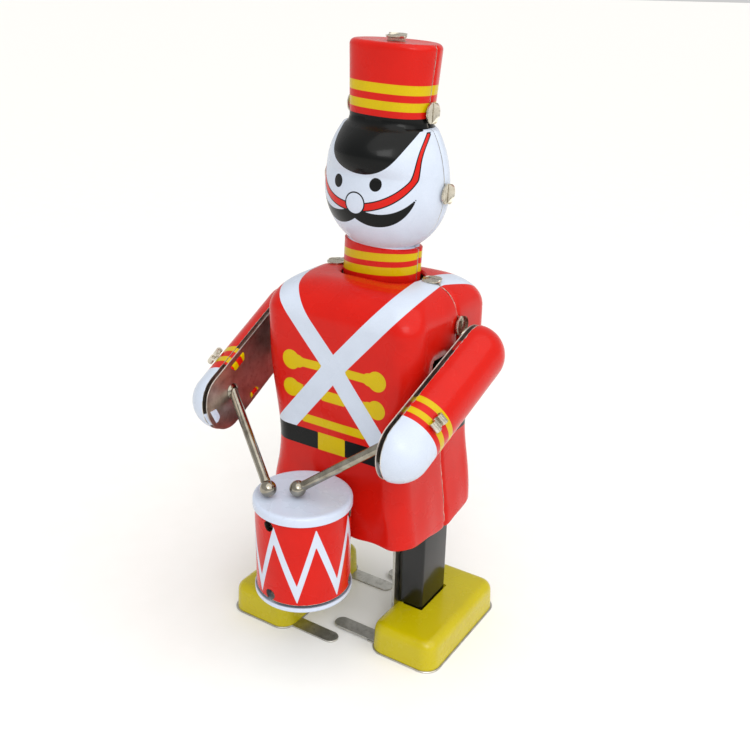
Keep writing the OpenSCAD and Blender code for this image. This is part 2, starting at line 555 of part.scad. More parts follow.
module arm_plate(s) place() difference() {
    arm_turn(s) {
        bar([-0.4, -arm_len, -plate_r], [0.1, 0, plate_r]);
        for (y = [0, -arm_len]) translate([-0.4, y, 0]) rotate([0, 90, 0]) cylinder(r = plate_r, h = 0.5, $fn = 40);
    }
    rod_x(min(s * 28, s * 38), max(s * 28, s * 38), 2 + gap, 0, arm_z);
}
// Point of the arm's own frame in body coordinates, and where the drumstick is fixed to the plate.
function arm_point(s, p) = let(a = slope(s), t = -s * arm_toe, g = roll(s),
    x = s * (p.x * cos(g) + p.z * sin(g)), z = p.z * cos(g) - p.x * sin(g), y = p.y * cos(a) - z * sin(a))
    [x * cos(t) - y * sin(t) + s * pivot_x(s), x * sin(t) + y * cos(t), p.y * sin(a) + z * cos(a) + arm_z];
function root(s) = arm_point(s, [-0.8, -stick_root, s > 0 ? 0 : 1.1]);
module stick(a, b) {
    d = b - a;
    l = norm(d);
    translate(a) rotate([0, acos(d.z / l), atan2(d.y, d.x)]) cylinder(r = stick_r, h = l, $fn = 24);
}
module drumstick(s, ball) place() {
    stick(root(s), ball);
    translate(root(s)) sphere(r = stick_r, $fn = 24);
    translate(ball) sphere(r = ball_d / 2, $fn = 32);
}
module cuff_clip(s) arm(s) {
    bar([-0.1, -clip_y - 1, -6.6], [0.4, 1 - clip_y, 6.6]);
    rotate([0, -clip_turn, 0]) bar([0.4, -clip_y - 1, -1.4], [arm_r + 0.4, 1 - clip_y, 1.4]);
    rotate([0, -clip_turn, 0])
    for (t = [-1, 1]) translate([arm_r + 0.2, t * 0.85 - clip_y, 0]) bar([0, -0.65, -1.8], [2.6, 0.65, 1.8]);
}
// Bent strip from the arm plate through the body's window down to the cam on the crank axle.
module arm_lever(s) place() mirror([s < 0 ? 1 : 0, 0, 0]) {
    bar([10.4, -10.4, 90], [pivot_x(s) - 0.8, -8.6, 91]);
    bar([pivot_x(s) - 1.4, -10.4, 90], [pivot_x(s) - 0.8, -8.6, 95]);
    bar([10.4, -11.6, crank_z + 4], [11.2, -10.2, 91]);
}
module left_arm_shell() color(red) arm_shell(1);
module left_arm_plate() color(steel) arm_plate(1);
module left_drumstick() color(steel) drumstick(1, left_ball);
module left_cuff_clip() color(steel) cuff_clip(1);
module left_arm_lever() color(steel) arm_lever(1);
module right_arm_shell() color(red) arm_shell(-1);
module right_arm_plate() color(steel) arm_plate(-1);
module right_drumstick() color(steel) drumstick(-1, right_ball);
module right_cuff_clip() color(steel) cuff_clip(-1);
module right_arm_lever() color(steel) arm_lever(-1);

body_front_shell();
body_back_shell();
side_strap();
shoulder_clips();
head_front_shell();
head_back_shell();
ear_strap();
hat_side_strap();
hat_top_clip();
drum_shell();
drum_top_lid();
drum_bottom_lid();
drum_tie_strap();
drum_bracket();
left_motor_plate();
right_motor_plate();
middle_motor_plate();
rear_motor_plate();
motor_pillars();
leg_guide_pins();
mainspring();
left_arm_pivot();
right_arm_pivot();
winding_key();
winding_arbor();
ratchet_wheel();
great_wheel();
click_pawl();
second_shaft();
second_pinion();
crown_wheel();
crank_axle();
crank_pinion();
governor_drive_gear();
left_crank_disc();
right_crank_disc();
left_arm_cam();
right_arm_cam();
governor_shaft();
governor_pinion();
escape_wheel();
governor_pallet();
left_leg_strip();
left_leg_cover();
left_shoe();
left_sole_plate();
right_leg_strip();
right_leg_cover();
right_shoe();
right_sole_plate();
left_arm_shell();
left_arm_plate();
left_drumstick();
left_cuff_clip();
left_arm_lever();
right_arm_shell();
right_arm_plate();
right_drumstick();
right_cuff_clip();
right_arm_lever();
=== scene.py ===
"""Tin clockwork drummer soldier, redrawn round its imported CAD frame.

Every new piece is worked out in millimetres with Y from the seam between the front and
back tinplates, and put() turns it into a mesh in the frame's own metres.
"""
import json

import bpy
import numpy as np
from mathutils import Matrix, Vector

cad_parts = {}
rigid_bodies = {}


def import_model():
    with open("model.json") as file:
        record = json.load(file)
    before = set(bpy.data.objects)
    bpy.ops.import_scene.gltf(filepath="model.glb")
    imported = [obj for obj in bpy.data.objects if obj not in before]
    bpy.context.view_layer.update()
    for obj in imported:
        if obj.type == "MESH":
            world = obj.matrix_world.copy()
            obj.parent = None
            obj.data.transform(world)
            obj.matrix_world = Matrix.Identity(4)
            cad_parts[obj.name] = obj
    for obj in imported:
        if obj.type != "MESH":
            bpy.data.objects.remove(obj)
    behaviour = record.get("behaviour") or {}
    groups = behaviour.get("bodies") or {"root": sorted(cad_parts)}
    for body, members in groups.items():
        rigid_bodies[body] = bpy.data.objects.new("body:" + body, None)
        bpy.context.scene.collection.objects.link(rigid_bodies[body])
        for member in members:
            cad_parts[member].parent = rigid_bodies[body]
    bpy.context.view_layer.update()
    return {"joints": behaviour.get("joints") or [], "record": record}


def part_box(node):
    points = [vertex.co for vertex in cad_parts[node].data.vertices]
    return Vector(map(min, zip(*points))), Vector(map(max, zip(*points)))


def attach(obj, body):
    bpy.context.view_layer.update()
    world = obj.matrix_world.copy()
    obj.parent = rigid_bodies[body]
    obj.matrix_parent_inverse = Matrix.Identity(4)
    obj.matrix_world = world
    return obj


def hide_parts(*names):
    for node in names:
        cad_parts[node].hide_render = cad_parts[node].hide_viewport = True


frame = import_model()

LEFT, RIGHT = 1, -1
FRONT, BACK = -1, 1
MM = 0.001
CRISP = np.radians(35)         # edges sharper than this stay crisp
JOINTS = {j["name"]: j for j in frame["joints"]}
SEAM_X = JOINTS["winding_turn"]["pos_m"][0] / MM
SEAM_Y, ARM_Z = (v / MM for v in JOINTS["left_arm_swing"]["pos_m"][1:])


def span(node):
    """Lowest and highest corner of a CAD node, in millimetres with Y from the seam."""
    return [np.array(corner) / MM - (SEAM_X, SEAM_Y, 0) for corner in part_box(node)]


# ---------- sizes ----------
HEM_Z, SHOULDER_Z = span("body_front_shell")[0][2], span("body_front_shell")[1][2]
WAIST_Z = 67.0                      # narrowest height of the coat
CHEST_RISE = 30.0                   # from the waist to the full chest
HEM_W, WAIST_W, CHEST_W = 26.2, 23.2, 26.5
SHOULDER_R = 10.0                   # rounding of the shoulders
SHOULDER_DEEP = {FRONT: 13.5, BACK: 12.0}   # how far the rounding runs in, before and behind the seam
TIN = 0.45                          # tinplate as drawn
FRONT_D, BACK_D = 26.2, 20.5        # depth of the coat before and behind the seam
CORNER_R, TOP_CORNER_R = 6.8, 8.0   # corners of the coat's plan, low down and on the shoulders
HEM_RISE = 2.8                      # the hem stands higher away from the seam
CROSS_Z = 94.5                      # where the cross straps meet
STRAP_HALF = 3.0
BELT_Z, BELT_HALF = 70.05, 2.85
WINDOW_Y, WINDOW_Z = -9.0, 92.75    # middle of the arm opening
WINDOW_HALF_Y, WINDOW_HALF_Z, WINDOW_R = 4.5, 5.75, 1.2
FAR_AWAY = 9.0                      # distance given where a printed shape is absent
HEAD_W, HEAD_D, BACK_HEAD_D = 19.3, 15.9, 13.6
HEAD_Z = 143.5                      # widest line of the head
CHIN_DROP, CROWN_RISE = 18.8, 26.5  # heights of the two half ellipses from that line
NECK_Z, NECK_W, NECK_D = 114.0, 12.6, 8.1
COLLAR_TOP = 127.5
VISOR_Z, VISOR_TALL, VISOR_OUT = 149.0, 13.0, 3.8
HAT_TOP, HAT_EDGE_R = 183.8, 1.6
HAT_Z = 162.5                       # where the hat starts
HAT_W, HAT_TALL = 12.2, 19.0
HEAD_SHIFT, HEAD_FOOT, HEAD_LEAN = -0.6, 116.0, np.radians(2.6)
EAR_Z, HAT_STRAP_Z, SIDE_STRAP_Z = 144.8, 166.0, 106.2
ARM_R = 9.0
ARM_LEN = 41.4
ARM_TOE = np.radians(3.0)
ARM_SLOPE = {LEFT: np.radians(22.4), RIGHT: np.radians(24.9)}
ARM_ROLL = {LEFT: 0.0, RIGHT: np.radians(5.0)}
PLATE_R = 8.7
PLATE_GAP = 1.3                     # dark gap between the sleeve's rim and the flat plate
CLIP_Y = {LEFT: 32.8, RIGHT: 31.0}
CLIP_TURN = {LEFT: np.radians(34), RIGHT: np.radians(47)}
CUFF_Y = {LEFT: 31.6, RIGHT: 30.4}  # middle of the two cuff lines
CUFF_APART, CUFF_HALF = 2.25, 1.05  # each line from that middle, and half its width
GLOVE_Y = 36.7
BALL_R = 2.45
STICK_R = 1.4
STICK_ROOT = {LEFT: 36.2, RIGHT: 37.8}  # from the arm pivot to the foot of the drumstick
STICK_RISE = {LEFT: 0.0, RIGHT: 0.4}
DRUM_LOW, DRUM_HIGH = span("drum_bottom_lid")[0], span("drum_top_lid")[1]
LID_R = (DRUM_HIGH[0] - DRUM_LOW[0]) / 2
DRUM_R = LID_R - 0.55
DRUM_Y = -41.3
DRUM_TOP, DRUM_BOTTOM = DRUM_HIGH[2], DRUM_LOW[2]
CLINCH_HOLE_R = 1.7
TEETH = 7                           # teeth of the drum's zigzag
SHOE_CORNER_R, SHOE_EDGE_R = 5.0, 3.2
PRONG_HALF, PRONG_Y = 2.65, 17.0    # half width of a sole prong, and its place from the sole's middle
SHEET = 0.6                         # sole sheet as drawn
TAB_R = 2.9
CLIP_X = 17.0                       # shoulder clips from the middle
STRAP_W = 2.6                       # half width of the strap of a clip


# ---------- shapes ----------
def ease(t):
    """Smooth step: 3t^2 - 2t^3, with t held between 0 and 1."""
    t = np.clip(t, 0.0, 1.0)
    return t * t * (3 - 2 * t)


def mix(a, b, t):
    """Straight blend from a to b."""
    return a + (b - a) * t


def spow(v, p):
    """Power that keeps the sign of v."""
    return np.sign(v) * np.abs(v) ** p


def oval(w, d, n, a):
    """Squarish oval: x = w cos(a)^(2/n), y = d sin(a)^(2/n)."""
    return w * spow(np.cos(a), 2 / n), d * spow(np.sin(a), 2 / n)


def even_angles(w, d, n, count):
    """Angles from 0 to pi that cut a half oval into steps of equal length."""
    a = np.linspace(0, np.pi, 8001)
    x, y = oval(w, d, n, a)
    run = np.concatenate([[0], np.cumsum(np.hypot(np.diff(x), np.diff(y)))])
    return np.interp(np.linspace(0, run[-1], count), run, a)


def along(points, axis):
    """Length run so far along one direction of a grid of points."""
    step = np.linalg.norm(np.diff(points, axis=axis), axis=-1)
    start = np.zeros_like(np.take(step, [0], axis=axis))
    return np.concatenate([start, np.cumsum(step, axis=axis)], axis=axis)


def skin(outer, inner, kept=None, wrap=False):
    """Closed sheet: the kept cells of an outer and an inner grid, with a wall along every free edge.

    Faces of the outer grid have finish 0, the inner grid and the walls finish 1."""
    n, m = outer.shape[:2]
    at = np.arange(n * m).reshape(n, m)
    a, b = at[:-1], at[1:]
    d, c = np.roll(a, -1, 1), np.roll(b, -1, 1)
    if not wrap:
        a, b, c, d = a[:, :-1], b[:, :-1], c[:, :-1], d[:, :-1]
    kept = np.ones(a.shape, bool) if kept is None else kept

    def beside(step, axis):
        moved = np.roll(kept, step, axis)
        if not (wrap and axis == 1):
            moved[(slice(None),) * axis + (0 if step > 0 else -1,)] = False
        return moved

    k = n * m
    outside = np.stack([a, b, c, d], -1)[kept]
    rest = [np.stack([a, d, c, b], -1)[kept] + k]
    for step, axis, e, f in ((1, 1, b, a), (-1, 1, d, c), (1, 0, a, d), (-1, 0, c, b)):
        rest.append(np.stack([e, f, f + k, e + k], -1)[kept & ~beside(step, axis)])
    rest = np.concatenate(rest)
    verts = np.concatenate([outer.reshape(-1, 3), inner.reshape(-1, 3)])
    finish = [0] * len(outside) + [1] * len(rest)
    return verts, outside.tolist() + rest.tolist(), finish


def loft(rings):
    """Closed body through a stack of rings: quads between neighbours and a flat face at each end."""
    n, m = rings.shape[:2]
    at = np.arange(n * m).reshape(n, m)
    turn = np.roll(at, -1, 1)
    quads = np.stack([at[:-1], turn[:-1], turn[1:], at[1:]], -1).reshape(-1, 4).tolist()
    faces = quads + [at[0][::-1].tolist(), at[-1].tolist()]
    return rings.reshape(-1, 3), faces, [0] * len(faces)


def revolve(profile, count=64):
    """Profile of (radius, height) turned round the Z axis."""
    profile = np.asarray(profile, float)
    a = np.arange(count) * 2 * np.pi / count
    ring = np.stack([np.cos(a), np.sin(a)], -1)
    heights = np.repeat(profile[:, None, 1:], count, 1)
    return loft(np.concatenate([profile[:, None, :1] * ring, heights], -1))


def rounded_outline(x0, x1, y0, y1, r, steps=6):
    """Rectangle whose four corners are quarter circles of radius r."""
    q = np.linspace(0, np.pi / 2, steps)
    corners = []
    middles = ((x1 - r, y1 - r), (x0 + r, y1 - r), (x0 + r, y0 + r), (x1 - r, y0 + r))
    for k, (cx, cy) in enumerate(middles):
        a = q + k * np.pi / 2
        corners.append(np.stack([cx + r * np.cos(a), cy + r * np.sin(a)], -1))
    return np.concatenate(corners)


def inset(outline, amount):
    """Outline moved inwards along the mean of its two edge normals at each point."""
    ahead = np.roll(outline, -1, 0) - outline
    ahead /= np.linalg.norm(ahead, axis=1)[:, None] + 1e-9
    normal = np.stack([-ahead[:, 1], ahead[:, 0]], -1)
    normal = normal + np.roll(normal, 1, 0)
    normal /= np.linalg.norm(normal, axis=1)[:, None] + 1e-9
    return outline + normal * amount


def stacked(outline, steps):
    """Rings of one outline, one for each (height, amount drawn in) of steps."""
    return np.stack([np.column_stack([inset(outline, i), np.full(len(outline), z)]) for z, i in steps])


def slab(outline, z0, z1, bevel=0.12):
    """Sheet of one outline from z0 to z1 with its two edges broken by a small bevel."""
    return loft(stacked(outline, ((z0, bevel), (z0 + bevel, 0), (z1 - bevel, 0), (z1, bevel))))


def bar(lo, hi, bevel=0.1):
    """Rectangular bar with broken edges."""
    return slab(rounded_outline(lo[0], hi[0], lo[1], hi[1], bevel, 3), lo[2], hi[2], bevel)


def moved(part, change):
    """The same part with its points passed through change."""
    verts, faces, finish = part
    return change(verts), faces, finish


def turned(origin, x_axis, y_axis, z_axis):
    """Change of frame: a point becomes origin + x x_axis + y y_axis + z z_axis."""
    axes = np.array([x_axis, y_axis, z_axis], float)
    return lambda p: np.asarray(origin, float) + p @ axes


def mirrored(side):
    """X kept for the left side and turned over for the right."""
    return lambda p: p * (side, 1, 1)


def volume(verts, faces):
    """Six times the signed volume under a part's quads, two triangles to each quad."""
    total = 0.0
    quads = np.array([f for f in faces if len(f) == 4])
    for corners in ([0, 1, 2], [0, 2, 3]):
        p, q, r = (verts[quads[:, c]] for c in corners)
        total += np.einsum("ij,ij->i", p, np.cross(q, r)).sum()
    return total


def put(name, parts, body, stands_for, finishes, marks=None):
    """Makes one mesh of parts, gives it its body and finishes, and hides the CAD nodes it stands for.

    A part whose volume is negative has its faces turned over, so that all of them point outwards."""
    verts, faces, kinds, base = [], [], [], 0
    for v, f, k in parts:
        centred = v - v.mean(0)
        f = [q[::-1] for q in f] if volume(centred, f) < 0 else f
        faces += [[i + base for i in q] for q in f]
        verts.append(v)
        kinds += k
        base += len(v)
    verts = np.concatenate(verts)
    used = np.unique(np.concatenate([np.asarray(q) for q in faces]))
    order = np.zeros(len(verts), int)
    order[used] = np.arange(len(used))
    mesh = bpy.data.meshes.new(name)
    mesh.from_pydata((verts[used] + (SEAM_X, SEAM_Y, 0)) * MM, [], [order[q].tolist() for q in faces])
    mesh.polygons.foreach_set("material_index", kinds)
    for finish in finishes:
        mesh.materials.append(finish)
    for mark, values in (marks or {}).items():
        values = np.tile(values, len(verts) // len(values))
        layer = mesh.attributes.new(mark, "FLOAT", "POINT")
        layer.data.foreach_set("value", values[used].astype(np.float32))
    mesh.shade_smooth()
    mesh.set_sharp_from_angle(angle=CRISP)
    piece = bpy.data.objects.new(name, mesh)
    bpy.context.scene.collection.objects.link(piece)
    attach(piece, body)
    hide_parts(*stands_for)


# ---------- coat ----------
def coat_width(z):
    """Half width of the coat at height z: smooth steps from the hem to the waist and on to the chest."""
    low, high = ease((z - HEM_Z) / (WAIST_Z - HEM_Z)), ease((z - WAIST_Z) / CHEST_RISE)
    return np.where(z < WAIST_Z, mix(HEM_W, WAIST_W, low), mix(WAIST_W, CHEST_W, high))


def coat_depth(z, side):
    """Depth of one tinplate: level behind, and in front a skirt that stands out 0.5 mm at 50 mm."""
    skirt = mix(FRONT_D - 0.7, FRONT_D + 0.5, ease((z - HEM_Z) / 13))
    front = np.where(z < 50, skirt, mix(FRONT_D + 0.5, FRONT_D, ease((z - 50) / 8)))
    return front if side == FRONT else BACK_D + 0 * z


def coat_rows(side):
    """Rows from the hem up: sides, a quarter turn over the shoulder, then the flat round the neck.

    Each row has half width, depth, height, corner radius, the tilt of its normal and its share of
    the hem's rise."""
    z0 = SHOULDER_Z - SHOULDER_R
    z = np.concatenate([[HEM_Z, HEM_Z + 0.12, HEM_Z + 0.35], np.linspace(HEM_Z + 0.7, 87, 66)[:-1],
                        np.linspace(87, 98.5, 17)[:-1], np.linspace(98.5, z0, 13)])
    rise = (z0 - z) / (z0 - HEM_Z)
    sides = np.stack([coat_width(z), coat_depth(z, side), z, 0 * z + CORNER_R, 0 * z, rise], -1)
    t = np.linspace(0, np.pi / 2, 25)[1:]
    w, d = coat_width(z0), coat_depth(z0, side)
    deep = SHOULDER_DEEP[side]
    turn = np.stack([w - SHOULDER_R * (1 - np.cos(t)), d - deep * (1 - np.cos(t)),
                     z0 + SHOULDER_R * np.sin(t), mix(CORNER_R, TOP_CORNER_R, t / t[-1]), t, 0 * t], -1)
    u = np.linspace(0, 1, 9)[1:]
    flat = np.stack([mix(w - SHOULDER_R, 13.1, u), mix(d - deep, 8.6, u) - 0.4 * (side > 0) * u,
                     SHOULDER_Z - 0.9 * ease((u - 0.7) / 0.3) ** 2, TOP_CORNER_R + 0 * u,
                     0 * u + np.pi / 2, 0 * u], -1)
    return np.concatenate([sides, turn, flat])


def half_box():
    """Half of a rounded box from +X to -X, as columns (flat x, flat y, corner cosine, corner sine).

    A point is (flat x (w - r) + cosine r, flat y (d - r) + sine r), and (cosine, sine) is its normal."""
    u, v, q = np.linspace(0, 1, 36)[:-1], np.linspace(0, 1, 79)[:-1], np.linspace(0, np.pi / 2, 23)[:-1]
    flank = np.stack([1 + 0 * u, u, 1 + 0 * u, 0 * u], -1)
    corner = np.stack([1 + 0 * q, 1 + 0 * q, np.cos(q), np.sin(q)], -1)
    face = np.stack([1 - 2 * v, 1 + 0 * v, 0 * v, 1 + 0 * v], -1)
    far_corner = corner[:, [0, 1, 3, 2]] * (-1, 1, -1, 1)
    far_flank = np.stack([-1 + 0 * u, 1 - u, -1 + 0 * u, 0 * u], -1)
    return np.concatenate([flank, corner, face, far_corner, far_flank, [[-1, 0, -1, 0]]])


def window_gap(y, z):
    """Distance outside the rounded arm opening."""
    p = np.abs(y - WINDOW_Y) - WINDOW_HALF_Y + WINDOW_R
    q = np.abs(z - WINDOW_Z) - WINDOW_HALF_Z + WINDOW_R
    return np.hypot(np.maximum(p, 0), np.maximum(q, 0)) + np.minimum(np.maximum(p, q), 0) - WINDOW_R


def coat_half(side):
    """Outer grid, normals and kept cells of the front (-1) or back (1) tinplate.

    The oval of each row gets small pushes along its normal: seam edges drawn in, the skirt's soft
    folds, a dish round each arm opening, the rolled hem and the waver of pressed tin."""
    rows = coat_rows(side)[:, None, :]
    w, d, z, r, tilt, share = (rows[..., k] for k in range(6))
    flat_x, flat_y, nx, ny = (half_box()[None, :, k] for k in range(4))
    x, y = flat_x * (w - r) + nx * r, flat_y * (d - r) + ny * r
    z = z + share * HEM_RISE * np.sin(np.pi / 2 * np.clip(y / 25, 0, 1))
    y, ny = side * y, side * ny
    points = np.stack(np.broadcast_arrays(x, y, z), -1)
    normal = np.stack(np.broadcast_arrays(nx * np.cos(tilt), ny * np.cos(tilt), np.sin(tilt)), -1)
    run = along(points, 1)
    across = run[:, -1:] / 2 - run
    edge = np.minimum(run, run[:, -1:] - run)
    skirt = ease((66 - z) / 22)
    loose = ease((50 - z) / 14)
    push = -0.55 * np.exp(-(edge / 0.55) ** 2) - 0.12 * np.exp(-(edge / 2.2) ** 2)
    push = push - 0.3 * loose * np.exp(-(edge / 1.1) ** 2) * (1.4 + np.sin(z * 0.9))
    push = push - 0.16 * skirt * np.cos(across * 0.42) * np.exp(-(edge / 9) ** -2.0 * 0.4)
    push = push - 0.10 * np.sin(across * 0.23 + 0.05 * z) * np.sin(z * 0.19 + side)
    if side == FRONT:
        dish = np.exp(-(np.maximum(window_gap(y, z) - 0.2, 0) / 1.6) ** 2)
        push = push - 0.75 * dish * (np.abs(x) > 15)
    push = push - 0.5 * np.clip((HEM_Z + 0.7 - rows[..., 2]) / 0.7, 0, 1) ** 2
    points = points + push[..., None] * normal
    points[..., 1] += side * 0.07
    points[..., 2] += 0.22 * loose * np.sin(across * 0.55) * np.exp(-((rows[..., 2] - HEM_Z) / 3) ** 2)
    kept = np.ones((points.shape[0] - 1, points.shape[1] - 1), bool)
    if side == FRONT:
        mid = (points[:-1, :-1] + points[1:, 1:]) / 2
        kept = (np.abs(mid[..., 0]) < 15) | (window_gap(mid[..., 1], mid[..., 2]) > 0)
    return points, normal, kept, coat_prints(points, across, edge)


def coat_prints(points, across, edge):
    """Printed shapes of the coat, as distances in mm outside each shape's outline.

    Cross straps: |distance from a slanting plane| less half the strap's width. Frogging: two bars
    with round ends and one plain bar. Belt: a level band with a square buckle in front."""
    x, y, z = (points[..., k] for k in range(3))
    front = y < 0
    rise = z - CROSS_Z
    run = 0.81 * np.minimum(rise, 0) + 0.9 * np.maximum(rise, 0)
    near = np.where(front, -0.16 * (y + FRONT_D), 0.4 * y - 4.2)
    far = np.where(front, 0.153 * (y + FRONT_D), 4.0)
    strap = np.minimum(np.abs(x - near - run), np.abs(x + far + run)) / 1.35 - STRAP_HALF
    white = np.maximum(strap, BELT_Z + BELT_HALF - z)
    reach = np.abs(across)
    gold = np.full(z.shape, FAR_AWAY)
    bars = ((94.3, 1.35, 13.0, 3.1), (85.4, 1.7, 13.0, 2.95), (76.4, 1.35, 15.5, 0))
    for height, half, length, blob in bars:
        rod = np.maximum(np.abs(z - height) - half, reach - length)
        neck = np.hypot(reach - 12.4, z - height) - 2.0 if blob else rod
        knob = np.hypot(reach - 15.1, z - height) - blob if blob else rod
        gold = np.minimum(gold, np.minimum(rod, np.minimum(neck, knob)))
    gold = np.where(front, np.maximum(gold, -white), FAR_AWAY)
    belt = np.abs(z - BELT_Z) - BELT_HALF
    buckle = np.where(front, np.maximum(np.abs(across + 0.5) - 4.9, belt), FAR_AWAY)
    return {"white_mm": white, "gold_mm": np.minimum(gold, buckle), "black_mm": np.maximum(belt, -buckle),
            "edge": edge}


def coat():
    """Front and back tinplate of the coat, with their printed marks."""
    for side, name, node in ((FRONT, "coat_front", "body_front_shell"),
                             (BACK, "coat_back", "body_back_shell")):
        points, normal, kept, marks = coat_half(side)
        put(name, [skin(points, points - TIN * normal, kept)], "body", [node],
            [COAT_LITHO, TIN_INSIDE], {k: v.ravel() for k, v in marks.items()})


# ---------- head ----------
def face_part(z):
    """Share of the head's half width at height z: two half ellipses meeting at the widest line."""
    t = (z - HEAD_Z) / np.where(z < HEAD_Z, CHIN_DROP, CROWN_RISE)
    return np.sqrt(np.clip(1 - t * t, 0, 1))


def visor(z):
    """How far the cap's peak stands out at height z: half a sine wave."""
    return VISOR_OUT * np.sin(np.pi * np.clip((z - VISOR_Z) / VISOR_TALL, 0, 1))


def head_rows():
    """Rows from the collar up: half width, front depth, back depth and height."""
    z = np.concatenate([np.linspace(NECK_Z, 127.2, 14), np.linspace(127.9, 161.3, 62)])
    k = face_part(z)
    neck = z < COLLAR_TOP
    w = np.where(neck, NECK_W, HEAD_W * k)
    back = np.where(neck, NECK_D, BACK_HEAD_D * k)
    front = np.where(neck, NECK_D, HEAD_D * k + visor(z))
    rows = np.stack([w, front, back, z], -1)
    top = HAT_TOP - HAT_EDGE_R
    z = np.linspace(162.0, top, 31)
    k = (z - HAT_Z) / HAT_TALL
    foot = 1.2 * ease((HAT_Z + 0.9 - z) / 1.6)
    w, front, back = mix(HAT_W - 0.2, HAT_W + 1.1, k), mix(9.5, 9.2, k), 11.3
    hat = np.stack([w + 0.4 * foot, front + foot, 0 * z + back, z], -1)
    t = np.linspace(0, np.pi / 2, 9)[1:]
    turn = HAT_EDGE_R * (1 - np.cos(t))
    w, front = w[-1], front[-1]
    brim = np.stack([w - turn, front - turn, back - turn, top + HAT_EDGE_R * np.sin(t)], -1)
    u = np.linspace(0, 1, 12)[1:]
    lid = np.stack([mix(w - HAT_EDGE_R, 0.25, u), mix(front - HAT_EDGE_R, 0.2, u),
                    mix(back - HAT_EDGE_R, 0.2, u), HAT_TOP - 0.25 * np.sin(np.pi * u)], -1)
    return np.concatenate([rows, hat, brim, lid])


def head_half(side, depth=0.0):
    """Grid of the front (-1) or back (1) tinplate of the head, depth inside the outer face."""
    rows = head_rows()[:, None, :]
    a = side * even_angles(1.2, 1, 2.1, 121)[None, :]
    back = rows[..., 2]
    front = mix(back, rows[..., 1], np.abs(np.sin(a)) ** 1.5) if side == FRONT else back
    z = rows[..., 3]
    crown = z > HAT_TOP - 0.4
    w, d = rows[..., 0] - depth * ~crown, front - depth * ~crown
    x, y = oval(np.maximum(w, 0.2), np.maximum(d, 0.15), 2.1, a)
    points = np.stack(np.broadcast_arrays(x, y, z - depth * (z > HAT_TOP - 1.2)), -1)
    run = along(points, 1)
    edge = np.minimum(run, run[:, -1:] - run)
    across = run[:, -1:] / 2 - run
    inward = np.where(points[..., 2] > HAT_TOP - 0.3, 0, 0.4 * np.exp(-(edge / 0.5) ** 2))
    points[..., :2] *= (1 - inward / np.maximum(np.hypot(points[..., 0], points[..., 1]), 1))[..., None]
    points[..., 1] += side * 0.06
    return points, head_prints(points, across, edge)


def lean_head(p):
    """Lean of the head about Y above the collar: x = c x + s z, z = c z - s x, then the side shift."""
    c, s = np.cos(HEAD_LEAN), np.sin(HEAD_LEAN)
    z = p[:, 2] - HEAD_FOOT
    return np.stack([c * p[:, 0] + s * z + HEAD_SHIFT, p[:, 1], c * z - s * p[:, 0] + HEAD_FOOT], -1)


def head_prints(points, across, edge):
    """Printed shapes of head, cap and collar, as distances in mm outside each shape's outline.

    The face is a plain cartoon: two dots, a ringed round nose, a crescent moustache made of two
    pairs of circles, a chin strap along an ellipse, and the cap's peak inside another ellipse."""
    y, z = points[..., 1], points[..., 2]
    front = y < 0
    x = across + 0.9
    up = z - 0.07 * np.clip(x, -20, 20)
    face = np.maximum(127.6 - z, z - 162.0)
    nose = np.hypot(x - 0.2, up - 141.2) - 2.95
    eyes = np.hypot(np.abs(x) - 6.4, (up - 146.85) * 0.95) - 1.8
    low = np.hypot(np.abs(x) - 6.9, up - 146.7) - 12.05
    high = 14.97 - np.hypot(np.abs(x) - 7.6, up - 153.5)
    moustache = np.maximum(low, high)
    wide, tall = 19.9, 15.9
    p, q = x / wide, (up - 156) / tall
    size = np.hypot(p, q)
    ring = size * (size - 1) / np.hypot(p / wide, q / tall)
    chin = np.abs(ring) - mix(0.95, 0.5, ease((up - 141) / 14))
    peak = np.hypot((x - 2.6) / 1.03, up - 162.7) - 13.2
    band = np.abs(z - 163.2) - 1.35
    black = np.minimum(np.minimum(eyes, moustache), np.maximum(peak, z - 164.0))
    black = np.minimum(np.where(front, black, FAR_AWAY), band)
    chin = np.where(front, np.maximum(chin, z - 161.0), FAR_AWAY)
    nose = np.where(front, nose, FAR_AWAY)
    collar = z - 0.09 * across * (z < 127)
    gold = np.abs(z - 172.0) - 1.3
    for height, half in ((167.55, 1.2), (124.3, 1.2), (120.1, 1.25)):
        gold = np.minimum(gold, np.abs(collar - height) - half)
    return {"face_mm": face, "chin_mm": chin, "black_mm": black, "nose_mm": nose, "gold_mm": gold,
            "edge": edge}


def head():
    """Front and back tinplate of head, cap and collar."""
    for side, name, node in ((FRONT, "head_front", "head_front_shell"),
                             (BACK, "head_back", "head_back_shell")):
        points, marks = head_half(side)
        inner, _ = head_half(side, TIN)
        put(name, [moved(skin(points, inner), lean_head)], "body", [node],
            [HEAD_LITHO, TIN_INSIDE], {k: v.ravel() for k, v in marks.items()})


# ---------- arms ----------
def arm_frame(side):
    """From the arm's own frame to the soldier's.

    Roll about the arm, mirror for the right arm, slope down about X, toe in about Z, out to the pivot."""
    pivot = JOINTS["left_arm_swing" if side > 0 else "right_arm_swing"]["pos_m"][0] / MM - SEAM_X
    c, s = np.cos(ARM_ROLL[side]), np.sin(ARM_ROLL[side])
    roll = np.array([[c, 0, -s], [0, 1, 0], [s, 0, c]])
    c, s = np.cos(ARM_SLOPE[side]), np.sin(ARM_SLOPE[side])
    slope = np.array([[1, 0, 0], [0, c, s], [0, -s, c]])
    c, s = np.cos(-side * ARM_TOE), np.sin(-side * ARM_TOE)
    toe = np.array([[c, s, 0], [-s, c, 0], [0, 0, 1]])
    return lambda p: (p @ roll) * (side, 1, 1) @ slope @ toe + (pivot, 0, ARM_Z)


